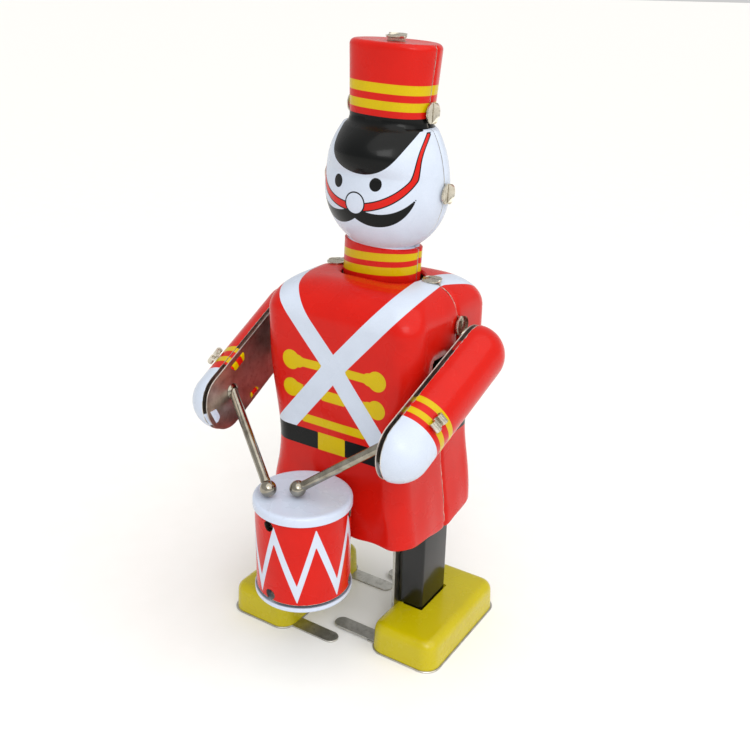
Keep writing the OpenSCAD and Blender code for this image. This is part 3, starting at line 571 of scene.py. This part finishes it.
def arm_grid(r):
    """Half of a capsule: half circles of radius r q along the arm, with q = cos in the round ends."""
    rows = 78
    t = np.linspace(np.pi / 2, 0, 16)
    middle = np.linspace(0, -ARM_LEN, rows + 2)[1:-1]
    y = np.concatenate([r * np.sin(t), middle, -ARM_LEN - r * np.sin(t[::-1])])
    q = np.concatenate([np.cos(t), np.ones(rows), np.cos(t[::-1])])
    q = np.maximum(q, 0.015)[:, None]
    a = np.linspace(-np.pi / 2, np.pi / 2, 57)[None, :]
    return np.stack(np.broadcast_arrays(r * q * np.cos(a), y[:, None], r * q * np.sin(a)), -1)


def cuff_lines(reach, side):
    """Distance outside the two gold lines: ||reach - middle| - half their spacing| - half a line."""
    return np.abs(np.abs(reach - CUFF_Y[side]) - CUFF_APART) - CUFF_HALF


def arm(side, hand):
    """Half-round sleeve and hand, flat plate, folded tabs and cuff clip of one arm."""
    place = arm_frame(side)
    body = hand + "_arm"
    outer, inner = arm_grid(ARM_R), arm_grid(ARM_R - TIN)
    reach = -outer[..., 1]
    marks = {"gold_mm": cuff_lines(reach, side).ravel(), "white_mm": (GLOVE_Y - reach).ravel(),
             "edge": outer[..., 0].ravel()}
    put(hand + "_sleeve", [moved(skin(outer, inner), place)], body, [hand + "_arm_shell"],
        [SLEEVE_LITHO, CUT_TIN], marks)
    q = np.linspace(0, np.pi, 25)
    ends = [np.stack([PLATE_R * np.sin(q), PLATE_R * np.cos(q)], -1),
            np.stack([-ARM_LEN - PLATE_R * np.sin(q), -PLATE_R * np.cos(q)], -1)]
    plate = slab(np.concatenate(ends), PLATE_GAP, PLATE_GAP + 0.4)
    flat = turned((0, 0, 0), (0, 1, 0), (0, 0, 1), (-1, 0, 0))
    put(hand + "_plate", [moved(moved(plate, flat), place)], body, [hand + "_arm_plate"],
        [ARM_TIN])
    sleeve_tabs(side, hand, place)
    cuff_clip(side, hand, place)


def fold(y, z, half, long):
    """Small tab folded from the sleeve's rim over the flat plate, its tip curling down on the plate.

    Along u from rim to tip it stands out by a sine, and its half width falls by 0.35 u^3."""
    out = PLATE_GAP + 0.8
    u = np.linspace(0, 1, 11)
    s = np.sign(z)
    stand = 0.1 * u - out * np.sin(np.pi * np.minimum(u * 1.6, 1) * 0.5)
    path = np.stack([stand, 0 * u + y, z - s * long * u], -1)
    v = np.linspace(-1, 1, 9)[None, :, None]
    grid = path[:, None] + v * half * np.array([0, 1, 0]) * (1 - 0.35 * u[:, None, None] ** 3)
    return skin(grid, grid + (0.32, 0, 0))


def sleeve_tabs(side, hand, place):
    """Tabs that hold plate and sleeve together: red and gold at the cuff, white at the hand."""
    rim = ARM_R - 0.25
    cuff = CUFF_Y[side]
    parts = [fold(-cuff - 0.6, rim, 3.6, 3.6), fold(-cuff, -rim, 2.2, 2.6), fold(-6.0, rim, 2.0, 2.4)]
    verts = np.concatenate([p[0] for p in parts])
    gold = cuff_lines(-verts[:, 1], side)
    marks = {"gold_mm": gold, "white_mm": 0 * gold + FAR_AWAY, "edge": 0 * gold + FAR_AWAY}
    put(hand + "_cuff_tabs", [moved(p, place) for p in parts], hand + "_arm", [hand + "_arm_shell"],
        [SLEEVE_LITHO, SLEEVE_LITHO], marks)
    tip = moved(fold(0, rim, 2.4, 3.6), turned((0, -ARM_LEN, 0), (1, 0, 0), (0, 0, -1), (0, -1, 0)))
    put(hand + "_hand_tab", [moved(tip, place)], hand + "_arm", [hand + "_arm_shell"],
        [WHITE_ENAMEL, CUT_TIN])


def cuff_clip(side, hand, place):
    """Split steel clip through the cuff: a flat neck and two ends spread and rolled back."""
    c, s = np.cos(CLIP_TURN[side]), np.sin(CLIP_TURN[side])
    stand = turned((0, -CLIP_Y[side], 0), (c, 0, s), (0, 1, 0), (-s, 0, c))
    parts = [moved(bar((0.5, -0.55, -1.5), (ARM_R + 1.0, 0.55, 1.5)), stand)]
    parts.append(bar((0.1, -CLIP_Y[side] - 0.9, -6.6), (0.45, 0.9 - CLIP_Y[side], 6.6)))
    curl = 1.05
    q = np.linspace(-0.4, 4.0, 15)
    for t in (-1, 1):
        path = np.stack([ARM_R + 1.1 + curl * np.sin(q), t * (0.55 + curl - curl * np.cos(q)), 0 * q], -1)
        v = np.linspace(-1, 1, 9)[None, :, None]
        grid = path[:, None] + v * (1.75 - 0.25 * v * v) * np.array([0, 0, 1.0])
        radial = np.stack([np.sin(q), -t * np.cos(q), 0 * q], -1)[:, None]
        parts.append(moved(skin(grid, grid - 0.4 * radial), stand))
    put(hand + "_clip", [moved(p, place) for p in parts], hand + "_arm", [hand + "_cuff_clip"],
        [CLINCH_TIN, CLINCH_TIN])


def drumstick(side, hand):
    """Steel rod with a ball: one profile turned about the line from the arm plate to the drum.

    A small flared ring stands round its foot on the plate."""
    lo, hi = span(hand + "_drumstick")
    place = arm_frame(side)
    reach, above = STICK_ROOT[side], STICK_RISE[side]
    root = place(np.array([[-PLATE_GAP - 0.6, -reach, above]]))[0]
    ball_x = lo[0] + BALL_R if side > 0 else hi[0] - BALL_R
    ball = np.array([ball_x, lo[1] + BALL_R, lo[2] + BALL_R])
    length = np.linalg.norm(ball - root)
    axis = (ball - root) / length
    side_axis = np.cross(axis, (0, 0, 1.0))
    side_axis /= np.linalg.norm(side_axis)
    t = np.linspace(np.arcsin(STICK_R / BALL_R), np.pi - 0.22, 28)
    ball_part = np.stack([BALL_R * np.sin(t), length - BALL_R * np.cos(t)], -1)
    dimple = [[0.42, length + BALL_R - 0.22], [0.1, length + BALL_R - 0.4]]
    q = np.linspace(0.1, np.pi / 2, 7)
    foot = np.stack([STICK_R * np.sin(q), -STICK_R * np.cos(q)], -1)
    shank = [[STICK_R, length - BALL_R - 0.6], [STICK_R * 1.06, length - BALL_R - 0.1]]
    profile = np.concatenate([foot, shank, ball_part, dimple])
    stick = moved(revolve(profile, 36), turned(root, side_axis, np.cross(axis, side_axis), axis))
    collar = [[2.3, -0.2], [2.5, 0.15], [2.1, 0.5], [1.6, 0.75], [1.42, 0.5], [1.42, -0.2]]
    on_plate = turned((-PLATE_GAP - 0.35, -reach, above), (0, 1, 0), (0, 0, 1), (-1, 0, 0))
    ring = moved(revolve(collar, 28), on_plate)
    put(hand + "_stick", [stick, moved(ring, place)], hand + "_arm", [hand + "_drumstick"],
        [NICKEL])


# ---------- drum ----------
def zigzag(angle, z):
    """Distance outside the white zigzag: |height above or below a sawtooth line|, less half a line."""
    period = 2 * np.pi / TEETH
    t = np.mod(angle - np.radians(-61.2), period) / period
    height = 34.9 + 18.8 * np.minimum(t / 0.45, (1 - t) / 0.55)
    return (np.abs(z - height) - 2.9) / 3.1


def at_drum(p):
    """From the drum's own axis to the soldier's frame."""
    return p + (0, DRUM_Y, 0)


def drum():
    """Rolled side with six clinch holes, and two pressed lids with rims."""
    count = 336
    a = np.arange(count) * 2 * np.pi / count
    z = np.linspace(DRUM_BOTTOM + 2.3, DRUM_TOP - 0.5, 120)[:, None]

    def wall(r):
        return np.stack(np.broadcast_arrays(r * np.cos(a), r * np.sin(a), z), -1)

    outer = wall(DRUM_R)
    angle = np.broadcast_to(a, outer.shape[:2])
    kept = np.ones((len(z) - 1, count), bool)
    mid_a, mid_z = a + np.pi / count, (z[1:] + z[:-1]) / 2
    for k in range(3):
        turn = np.radians(-97 + 120 * k)
        off = np.angle(np.exp(1j * (mid_a - turn))) * DRUM_R
        for height in (DRUM_BOTTOM + 3.8, DRUM_TOP - 4.6):
            kept &= np.hypot(off, mid_z - height) > CLINCH_HOLE_R
    part = skin(outer, wall(DRUM_R - TIN), kept, wrap=True)
    marks = {"white_mm": zigzag(angle, z).ravel(), "edge": (np.broadcast_to(z, angle.shape) - z[0]).ravel()}
    put("drum_side", [moved(part, at_drum)], "body", ["drum_shell"], [DRUM_LITHO, TIN_INSIDE],
        marks)
    r, t, b = LID_R, DRUM_TOP, DRUM_BOTTOM
    q = np.linspace(0, np.pi / 2, 6)
    rim = np.stack([r - 1.0 + 1.0 * np.sin(q), t - 1.0 + 1.0 * np.cos(q)], -1)
    top = [[0.05, t - 0.15], [r - 3.2, t - 0.15], [r - 2.2, t - 0.04], [r - 1.4, t]] + rim.tolist() + [
        [r, t - 2.6], [r - 0.12, t - 2.75], [r - 0.3, t - 2.7], [r - 0.35, t - 1.1], [r - 1.3, t - 0.45],
        [0.05, t - 0.5]]
    put("drum_head", [moved(revolve(top, 128), at_drum)], "body", ["drum_top_lid"],
        [WHITE_ENAMEL])
    rim = np.stack([r - 0.7 + 0.7 * np.sin(q), b + 0.7 - 0.7 * np.cos(q)], -1)
    base = [[0.05, b + 0.3], [r - 2.2, b + 0.3], [r - 1.4, b]] + rim.tolist() + [
        [r, b + 1.6], [r - 0.3, b + 1.6], [r - 0.35, b + 0.8], [r - 1.1, b + 0.5], [0.05, b + 0.6]]
    put("drum_base", [moved(revolve(base, 96), at_drum)], "body", ["drum_bottom_lid"],
        [WHITE_ENAMEL])


# ---------- feet and legs ----------
def leg(side, hand):
    """Shoe, sole with its two prongs and black leg cover of one leg.

    The left leg's prongs run a little over one sheet higher than the right leg's."""
    body = hand + "_leg"
    place = mirrored(side)
    lo, hi = span(hand + "_shoe")
    x0, x1 = sorted(np.abs((lo[0], hi[0])))
    y0, y1, top = lo[1], hi[1], hi[2]
    c_lo, c_hi = span(hand + "_leg_cover")
    cx0, cx1 = sorted(np.abs((c_lo[0], c_hi[0])))
    cy0, cy1 = c_lo[1], c_hi[1]
    shoulder = top - SHOE_EDGE_R
    q = np.linspace(0, np.pi / 2, 9)[1:]
    steps = [(0.6, 0.0), (1.0, 0.08), (shoulder, 0.35)]
    steps += list(zip(shoulder + SHOE_EDGE_R * np.sin(q), 0.35 + SHOE_EDGE_R * (1 - np.cos(q))))
    rings = stacked(rounded_outline(x0, x1, y0, y1, SHOE_CORNER_R, 12), steps)
    hole = rounded_outline(x0 + 3.7, cx1 + 0.5, cy0 - 0.5, cy1 + 0.5, 0.4, 12)
    rim = rings[-1, :, :2]
    height = np.full(len(hole), top)
    level = np.stack([np.column_stack([mix(rim, hole, u), height]) for u in (0.35, 0.7, 1.0)])
    rings = np.concatenate([rings, level, stacked(hole, [(top - 1.0, 0)])])
    put(hand + "_foot", [moved(loft(rings[:, ::-1]), place)], body, [hand + "_shoe"],
        [YELLOW_ENAMEL])
    s_lo, s_hi = span(hand + "_sole_plate")
    sx0, sx1 = x0 - 0.2, x1 + 0.5
    parts = [slab(rounded_outline(sx0, sx1, s_lo[1], s_hi[1], 5.2, 12), 0, SHEET, 0.15)]
    lift = SHEET + 0.15 if side == LEFT else 0.0
    mid = (y0 + y1) / 2
    for y in (mid - PRONG_Y, mid + PRONG_Y):
        q = np.linspace(-np.pi / 2, np.pi / 2, 13)
        tip = np.stack([-0.2 - PRONG_HALF * np.cos(q), y + PRONG_HALF * np.sin(q)], -1)
        end = sx0 + 2.4 if side == LEFT else sx0 + 3
        outline = np.concatenate([tip, [[end, y + PRONG_HALF], [end, y - PRONG_HALF]]])[::-1]
        parts.append(slab(outline, lift, lift + SHEET))
        if side == LEFT:
            parts.append(bar((sx0 - 2, y - PRONG_HALF, 0.02), (sx0 + 2.4, y + PRONG_HALF, lift + 0.55)))
    put(hand + "_sole", [moved(p, place) for p in parts], body, [hand + "_sole_plate"],
        [SOLE_TIN])
    steps = ((1.1, 0.0), (35.4, 0.0), (36.2, 0.25), (37.4, 1.2), (43.2, 2.4), (44, 3.2))
    channel = loft(stacked(rounded_outline(cx0, cx1, cy0, cy1, 1.1, 8), steps))
    put(hand + "_leg_channel", [moved(channel, place)], body, [hand + "_leg_cover"],
        [BLACK_ENAMEL])


# ---------- clinch tabs ----------
def leaf(side, lift):
    """One folded half disc: across = 0.16 + u R sqrt(1 - v^2), along = v R.

    Its height is 0.3 + 0.42 (1 - u)^2 + lift u^2, less a shallow half sine wave."""
    u = np.linspace(0, 1, 13)[:, None]
    v = np.linspace(-0.985, 0.985, 25)[None, :]
    reach = TAB_R * np.sqrt(1 - v * v)
    height = 0.3 + 0.42 * (1 - u) ** 2 + lift * u * u - 0.12 * np.sin(np.pi * u)
    x, y, z = np.broadcast_arrays(v * TAB_R + 0 * u, side * (0.16 + u * reach), height)
    outer = np.stack([x, y, z], -1)
    return skin(outer, outer - (0, 0, 0.38))


def tab_pair(where, out, lift=(0.5, 1.1)):
    """Two leaves folded to either side of the seam, and the neck of the strap between them."""
    origin, out = np.asarray(where, float), np.asarray(out, float)
    long_way = np.cross((0, 1, 0), out)
    frame_of = turned(origin, long_way, (0, 1, 0), out)
    neck = bar((-TAB_R + 0.1, -0.24, -1.6), (TAB_R - 0.1, 0.24, 0.55), 0.08)
    parts = [leaf(-1, lift[0]), leaf(1, lift[1]), neck]
    return [moved(p, frame_of) for p in parts]


def upright(p):
    """Parts of the coat stand straight, so their points stay."""
    return p


def straps():
    """The five clinched straps in the seams, with their folded ends."""
    for name, node, half, z, tall, place in (
            ("side_tabs", "side_strap", span("side_strap")[1][0] - 0.75, SIDE_STRAP_Z, 2.7, upright),
            ("ear_tabs", "ear_strap", HEAD_W + 0.05, EAR_Z, 2.5, lean_head),
            ("hat_side_tabs", "hat_side_strap", HAT_W + 0.25, HAT_STRAP_Z, 2.5, lean_head)):
        parts = [bar((-half, -0.25, z - tall), (half, 0.25, z + tall))]
        for s in (-1, 1):
            parts += tab_pair((s * half, 0, z), (s, 0, 0))
        put(name, [moved(p, place) for p in parts], "body", [node], [CLINCH_TIN, CLINCH_TIN])
    lo, hi = span("shoulder_clips")
    parts = []
    for x in (-CLIP_X, CLIP_X):
        parts.append(bar((x - STRAP_W, -0.25, lo[2]), (x + STRAP_W, 0.25, hi[2] - 0.6)))
        parts += tab_pair((x, 0, hi[2] - 0.75), (0, 0, 1), (0.05, 0.3))
    put("shoulder_tabs", parts, "body", ["shoulder_clips"], [CLINCH_TIN, CLINCH_TIN])
    parts = [bar((-STRAP_W, -0.25, HAT_STRAP_Z + 3), (STRAP_W, 0.25, HAT_TOP + 0.8))]
    parts += tab_pair((0, 0, HAT_TOP + 0.7), (0, 0, 1), (0.4, 0.9))
    put("hat_top_tab", [moved(p, lean_head) for p in parts], "body", ["hat_top_clip"],
        [CLINCH_TIN, CLINCH_TIN])


# ---------- materials ----------
def linear(code):
    """sRGB hex to linear light: v / 12.92 below 0.04045, else ((v + 0.055) / 1.055) ^ 2.4."""
    v = np.array([int(code[i:i + 2], 16) / 255 for i in (1, 3, 5)])
    return (*np.where(v < 0.04045, v / 12.92, ((v + 0.055) / 1.055) ** 2.4), 1.0)


def add(tree, kind, inputs=None, **settings):
    """Adds one shader node with its settings; each input is a value or a socket to link."""
    node = tree.nodes.new("ShaderNode" + kind)
    for key, value in settings.items():
        setattr(node, key, value)
    for key, value in (inputs or {}).items():
        if isinstance(value, bpy.types.NodeSocket):
            tree.links.new(value, node.inputs[key])
        else:
            node.inputs[key].default_value = value
    return node


def start(name):
    """New material: its node tree, its surface shader and its Object coordinates."""
    material = bpy.data.materials.new(name)
    material.use_nodes = True
    tree = material.node_tree
    return material, tree, tree.nodes["Principled BSDF"], add(tree, "TexCoord").outputs["Object"]


def cloud(tree, where, size_mm, low, high, detail=3.0):
    """Noise whose patches are about size_mm wide, stretched to run from low to high."""
    noise = add(tree, "TexNoise", {"Vector": where, "Scale": 1000 / size_mm, "Detail": detail})
    return add(tree, "MapRange", {"Value": noise.outputs["Fac"], "From Min": 0.3, "From Max": 0.7,
                                  "To Min": low, "To Max": high}).outputs["Result"]


def blend(tree, share, first, second, kind="MIX"):
    """Colour mix: first where share is 0, second where it is 1."""
    node = add(tree, "Mix", {"Factor": share}, data_type="RGBA", blend_type=kind)
    for socket, value in ((node.inputs[6], first), (node.inputs[7], second)):
        if isinstance(value, bpy.types.NodeSocket):
            tree.links.new(value, socket)
        else:
            socket.default_value = value
    return node.outputs[2]


def relief(tree, shader, *layers):
    """Bump nodes one after another, each with its own height and real depth in millimetres."""
    normal = None
    for height, depth_mm in layers:
        inputs = {"Height": height, "Strength": 1.0, "Distance": depth_mm * MM}
        if normal is not None:
            inputs["Normal"] = normal
        normal = add(tree, "Bump", inputs).outputs["Normal"]
    tree.links.new(normal, shader.inputs["Normal"])


def printed(name, base, shade, inks, worn=0.12):
    """Colour-printed tinplate under varnish.

    Each ink covers where its distance attribute is below its spread in mm, with a soft edge 0.1 mm
    wide, so that a thin outline is the same shape printed in black with a little spread. Ink
    thins a little in 4 mm clouds and 0.3 mm grain, and bare tin shows along the cut edge."""
    material, tree, shader, where = start(name)
    colour = blend(tree, cloud(tree, where, 9, 0.0, 0.35), linear(base), linear(shade))
    for mark, code, spread in inks:
        value = add(tree, "Attribute", attribute_name=mark).outputs["Fac"]
        cover = add(tree, "MapRange", {"Value": value, "From Min": spread + 0.05, "From Max": spread - 0.05},
                    interpolation_type="SMOOTHSTEP").outputs["Result"]
        colour = blend(tree, cover, colour, linear(code))
    colour = blend(tree, cloud(tree, where, 4, 0.0, 0.06), colour, linear("#8C8A90"), "MULTIPLY")
    colour = blend(tree, cloud(tree, where, 0.3, 0.0, 0.07, 1.0), colour, linear("#FFFFFF"), "OVERLAY")
    edge = add(tree, "Attribute", attribute_name="edge").outputs["Fac"]
    limit = cloud(tree, where, 1.6, 0.02, worn)
    bare = add(tree, "Math", {0: limit, 1: edge}, operation="GREATER_THAN").outputs["Value"]
    tree.links.new(blend(tree, bare, colour, linear("#D9D4C8")), shader.inputs["Base Color"])
    tree.links.new(bare, shader.inputs["Metallic"])
    tree.links.new(cloud(tree, where, 13, 0.20, 0.34), shader.inputs["Roughness"])
    shader.inputs["Specular IOR Level"].default_value = 0.14
    shader.inputs["Coat Weight"].default_value = 0.1
    shader.inputs["Coat Roughness"].default_value = 0.08
    relief(tree, shader, (cloud(tree, where, 12, 0.0, 1.0, 1.0), 0.09),
           (cloud(tree, where, 0.7, 0.0, 1.0), 0.0035))
    return material


def enamel(name, base, shade, rough, peel_mm, coat=0.2, wear=0.1):
    """Sprayed or dipped coating: soft colour drift, orange peel and, with wear, dull rubbed patches."""
    material, tree, shader, where = start(name)
    colour = blend(tree, cloud(tree, where, 11, 0.0, 0.5), linear(base), linear(shade))
    rubbed = cloud(tree, where, 2.2, -1.2, wear, 5.0)
    colour = blend(tree, rubbed, colour, linear("#8A8780"))
    tree.links.new(colour, shader.inputs["Base Color"])
    tree.links.new(cloud(tree, where, 6, rough, rough + 0.12), shader.inputs["Roughness"])
    shader.inputs["Specular IOR Level"].default_value = 0.3
    shader.inputs["Coat Weight"].default_value = coat
    shader.inputs["Coat Roughness"].default_value = 0.1
    relief(tree, shader, (cloud(tree, where, 10, 0.0, 1.0, 1.0), 0.05),
           (cloud(tree, where, peel_mm, 0.0, 1.0), 0.004))
    return material


def metal(name, bright, dark, dirt, rough, grain_mm, dent_mm=0.01, soil=0.35):
    """Bare or plated metal: cloudy tone, a film of dirt in patches, fine grain and shallow dents."""
    material, tree, shader, where = start(name)
    tone = blend(tree, cloud(tree, where, 3.5, 0.0, 1.0, 5.0), linear(bright), linear(dark))
    film = cloud(tree, where, 1.3, -0.6, soil, 6.0)
    tree.links.new(blend(tree, film, tone, linear(dirt)), shader.inputs["Base Color"])
    shader.inputs["Metallic"].default_value = 1.0
    fine = cloud(tree, where, grain_mm, rough - 0.05, rough + 0.09, 4.0)
    tree.links.new(fine, shader.inputs["Roughness"])
    relief(tree, shader, (cloud(tree, where, 2.6, 0.0, 1.0, 2.0), dent_mm),
           (cloud(tree, where, grain_mm, 0.0, 1.0), 0.002))
    return material


RED, RED_SHADE, GOLD, WHITE, BLACK = "#C9180D", "#B8120A", "#C9AC00", "#C6D0E0", "#060808"
# Litho-printed coat tin: offset inks and a clear stoved varnish, pressed after printing; bright
# scarlet with soft gloss, crisp print edges and a hair of bare tin where the sheet was cut.
COAT_LITHO = printed("litho_printed_coat_tin", RED, RED_SHADE,
                     (("gold_mm", GOLD, 0), ("white_mm", WHITE, 0), ("black_mm", BLACK, 0)))
# Litho-printed head tin: the same inks with the white face laid under the line work.
HEAD_LITHO = printed("litho_printed_head_tin", RED, RED_SHADE,
                     (("face_mm", WHITE, 0), ("chin_mm", BLACK, 0.36), ("chin_mm", RED, 0),
                      ("black_mm", BLACK, 0), ("nose_mm", BLACK, 0.42), ("nose_mm", WHITE, 0),
                      ("gold_mm", GOLD, 0)))
# Litho-printed sleeve tin: red, two gold cuff lines and a white glove.
SLEEVE_LITHO = printed("litho_printed_sleeve_tin", RED, RED_SHADE,
                       (("gold_mm", GOLD, 0), ("white_mm", WHITE, 0)), 0.34)
# Litho-printed drum tin: red ground with a white zigzag, rolled into a tube.
DRUM_LITHO = printed("litho_printed_drum_tin", RED, RED_SHADE, (("white_mm", WHITE, 0),), 0.1)
# White stoving enamel on pressed tin: cool white, glossy, faint orange peel.
WHITE_ENAMEL = enamel("white_stoving_enamel", "#C6D0E2", "#C0CADD", 0.22, 0.8)
# Yellow stoving enamel, dipped: lemon yellow, thick and glossy over the shoe's round edges.
YELLOW_ENAMEL = enamel("yellow_stoving_enamel", "#BFB006", "#B2A203", 0.2, 1.1)
# Black japan lacquer on folded tin: nearly black, deep gloss with long soft reflections.
BLACK_ENAMEL = enamel("black_japan_lacquer", "#050606", "#0A0C0D", 0.14, 1.4, 0.35, 0.0)
# Nickel-plated steel, barrel polished: warm grey mirror with fine scuffs.
NICKEL = metal("nickel_plated_steel", "#A8A396", "#7C766A", "#433E36", 0.13, 0.25, 0.004, 0.3)
# Plain tinplate of the arm plates, rolled: grey-brown with blurred reflections.
ARM_TIN = metal("plain_rolled_tinplate", "#C9C2BB", "#A59B94", "#6E605A", 0.36, 0.5, 0.03, 0.3)
# Plain tinplate of the soles, handled: pale grey with duller patches where it was touched.
SOLE_TIN = metal("handled_sole_tinplate", "#CBC9C2", "#A9A79F", "#807C72", 0.34, 0.4, 0.012, 0.45)
# Unprinted inner side of the shells: dull silver tin with a thin lacquer.
TIN_INSIDE = metal("unprinted_inner_tin", "#A8A49A", "#8B877E", "#5A564E", 0.38, 0.6, 0.02)
# Freshly cut tin edge: bright and slightly rough.
CUT_TIN = metal("sheared_tin_edge", "#E6E3DC", "#CFCBC2", "#9A958A", 0.3, 0.3, 0.004, 0.1)
# Clinched tin tabs: soft hammered tin with dark dirt left in the dents.
CLINCH_TIN = metal("clinched_tin_tab", "#DDD8CA", "#B8B09F", "#4A4338", 0.25, 0.5, 0.03, 0.35)
# Stamped clock brass of the wheels: warm yellow, brushed flat, a little tarnished.
GEAR_BRASS = metal("stamped_clock_brass", "#D9B45A", "#B98F3C", "#6E5426", 0.26, 0.3, 0.004)
# Blued clock-spring steel, tempered in oil: dark blue-grey with a brown edge.
SPRING_STEEL = metal("blued_spring_steel", "#4A5570", "#2C3346", "#5A4634", 0.28, 0.4, 0.003)
# Mild steel sheet and rod, as rolled: grey, satin, lightly oiled.
MILD_STEEL = metal("rolled_mild_steel", "#A09D96", "#7F7C75", "#554E45", 0.33, 0.35, 0.006)
# Matt white coated paper, rolled smooth: even off-white without gloss under the toy.
PAPER = enamel("matt_white_paper_sweep", "#F6F5F3", "#F3F2EF", 0.8, 3.0, 0.0, 0.0)
SLOTS = {"coat_litho": COAT_LITHO, "head_litho": HEAD_LITHO, "drum_litho": DRUM_LITHO,
         "white_enamel": WHITE_ENAMEL, "sleeve_litho": SLEEVE_LITHO, "yellow_enamel": YELLOW_ENAMEL,
         "black_enamel": BLACK_ENAMEL, "nickel_plate": NICKEL, "bare_tinplate": SOLE_TIN,
         "gear_brass": GEAR_BRASS, "blued_spring": SPRING_STEEL, "clinch_tin": CLINCH_TIN,
         "mild_steel": MILD_STEEL}


def finish_cad():
    """Gives every CAD node still shown the material of its slot in the record."""
    for part in frame["record"]["subparts"]:
        node = bpy.data.objects[part["node"]]
        for k in range(len(node.data.materials)):
            node.data.materials[k] = SLOTS[part["material_slot"]]


# ---------- stage ----------
def set_up(thing, name, axes, place):
    """Puts a camera or light into the scene: its X, Y and Z axes and its place are its matrix's columns."""
    holder = bpy.data.objects.new(name, thing)
    matrix = Matrix.Identity(4)
    for k, axis in enumerate((*axes, place)):
        for row in range(3):
            matrix[row][k] = axis[row]
    holder.matrix_world = matrix
    bpy.context.scene.collection.objects.link(holder)
    return holder


def camera():
    """Lens, place and turn of the camera: it looks along yaw and pitch, then rolls about that line."""
    data = bpy.data.cameras.new("view")
    data.lens, data.sensor_width, data.clip_start = 44.53, 36.0, 0.01
    yaw, pitch, roll = 0.561, 0.394, 0.022
    place = np.array([142.772 + SEAM_X, -230.445 + SEAM_Y, 196.551]) * MM
    ahead = np.array([-np.sin(yaw) * np.cos(pitch), np.cos(yaw) * np.cos(pitch), -np.sin(pitch)])
    level = np.array([np.cos(yaw), np.sin(yaw), 0])
    rise = np.cross(level, ahead)
    right = level * np.cos(roll) + rise * np.sin(roll)
    up = rise * np.cos(roll) - level * np.sin(roll)
    bpy.context.scene.camera = set_up(data, "view", (right, up, -ahead), place)


def softbox(place, target, size, power):
    """Square light at place, facing target, in metres and watts."""
    data = bpy.data.lights.new("softbox", "AREA")
    data.shape, data.size, data.energy = "SQUARE", size, power
    ahead = np.array(target, float) - np.array(place, float)
    ahead /= np.linalg.norm(ahead)
    side = np.cross(ahead, (0, 0, 1.0))
    side /= np.linalg.norm(side)
    set_up(data, "softbox", (side, np.cross(side, ahead), -ahead), place)


def stage():
    """White paper floor, a pale sky all round, a broad soft light from above right and a softbox in front."""
    far = 40.0
    mesh = bpy.data.meshes.new("paper_floor")
    mesh.from_pydata([(-far, -far, 0), (far, -far, 0), (far, far, 0), (-far, far, 0)], [], [(0, 1, 2, 3)])
    mesh.materials.append(PAPER)
    paper = bpy.data.objects.new("paper_floor", mesh)
    bpy.context.scene.collection.objects.link(paper)
    world = bpy.data.worlds.new("studio")
    bpy.context.scene.world = world
    world.use_nodes = True
    sky = world.node_tree.nodes["Background"]
    sky.inputs["Color"].default_value = (1.0, 0.998, 0.99, 1)
    sky.inputs["Strength"].default_value = 0.62
    data = bpy.data.lights.new("broad", "SUN")
    data.energy, data.angle, data.color = 1.9, 1.5, (1.0, 0.985, 0.96)
    light = bpy.data.objects.new("broad", data)
    light.matrix_world = Vector((0.5, -0.2, 0.84)).to_track_quat("Z", "Y").to_matrix().to_4x4()
    bpy.context.scene.collection.objects.link(light)
    softbox((0.42, -0.52, 0.62), (0, 0, 0.1), 0.35, 1.6)
    bpy.context.scene.view_settings.view_transform = "Standard"


finish_cad()
coat()
head()
for side, hand in ((LEFT, "left"), (RIGHT, "right")):
    arm(side, hand)
    drumstick(side, hand)
    leg(side, hand)
drum()
straps()
camera()
stage()
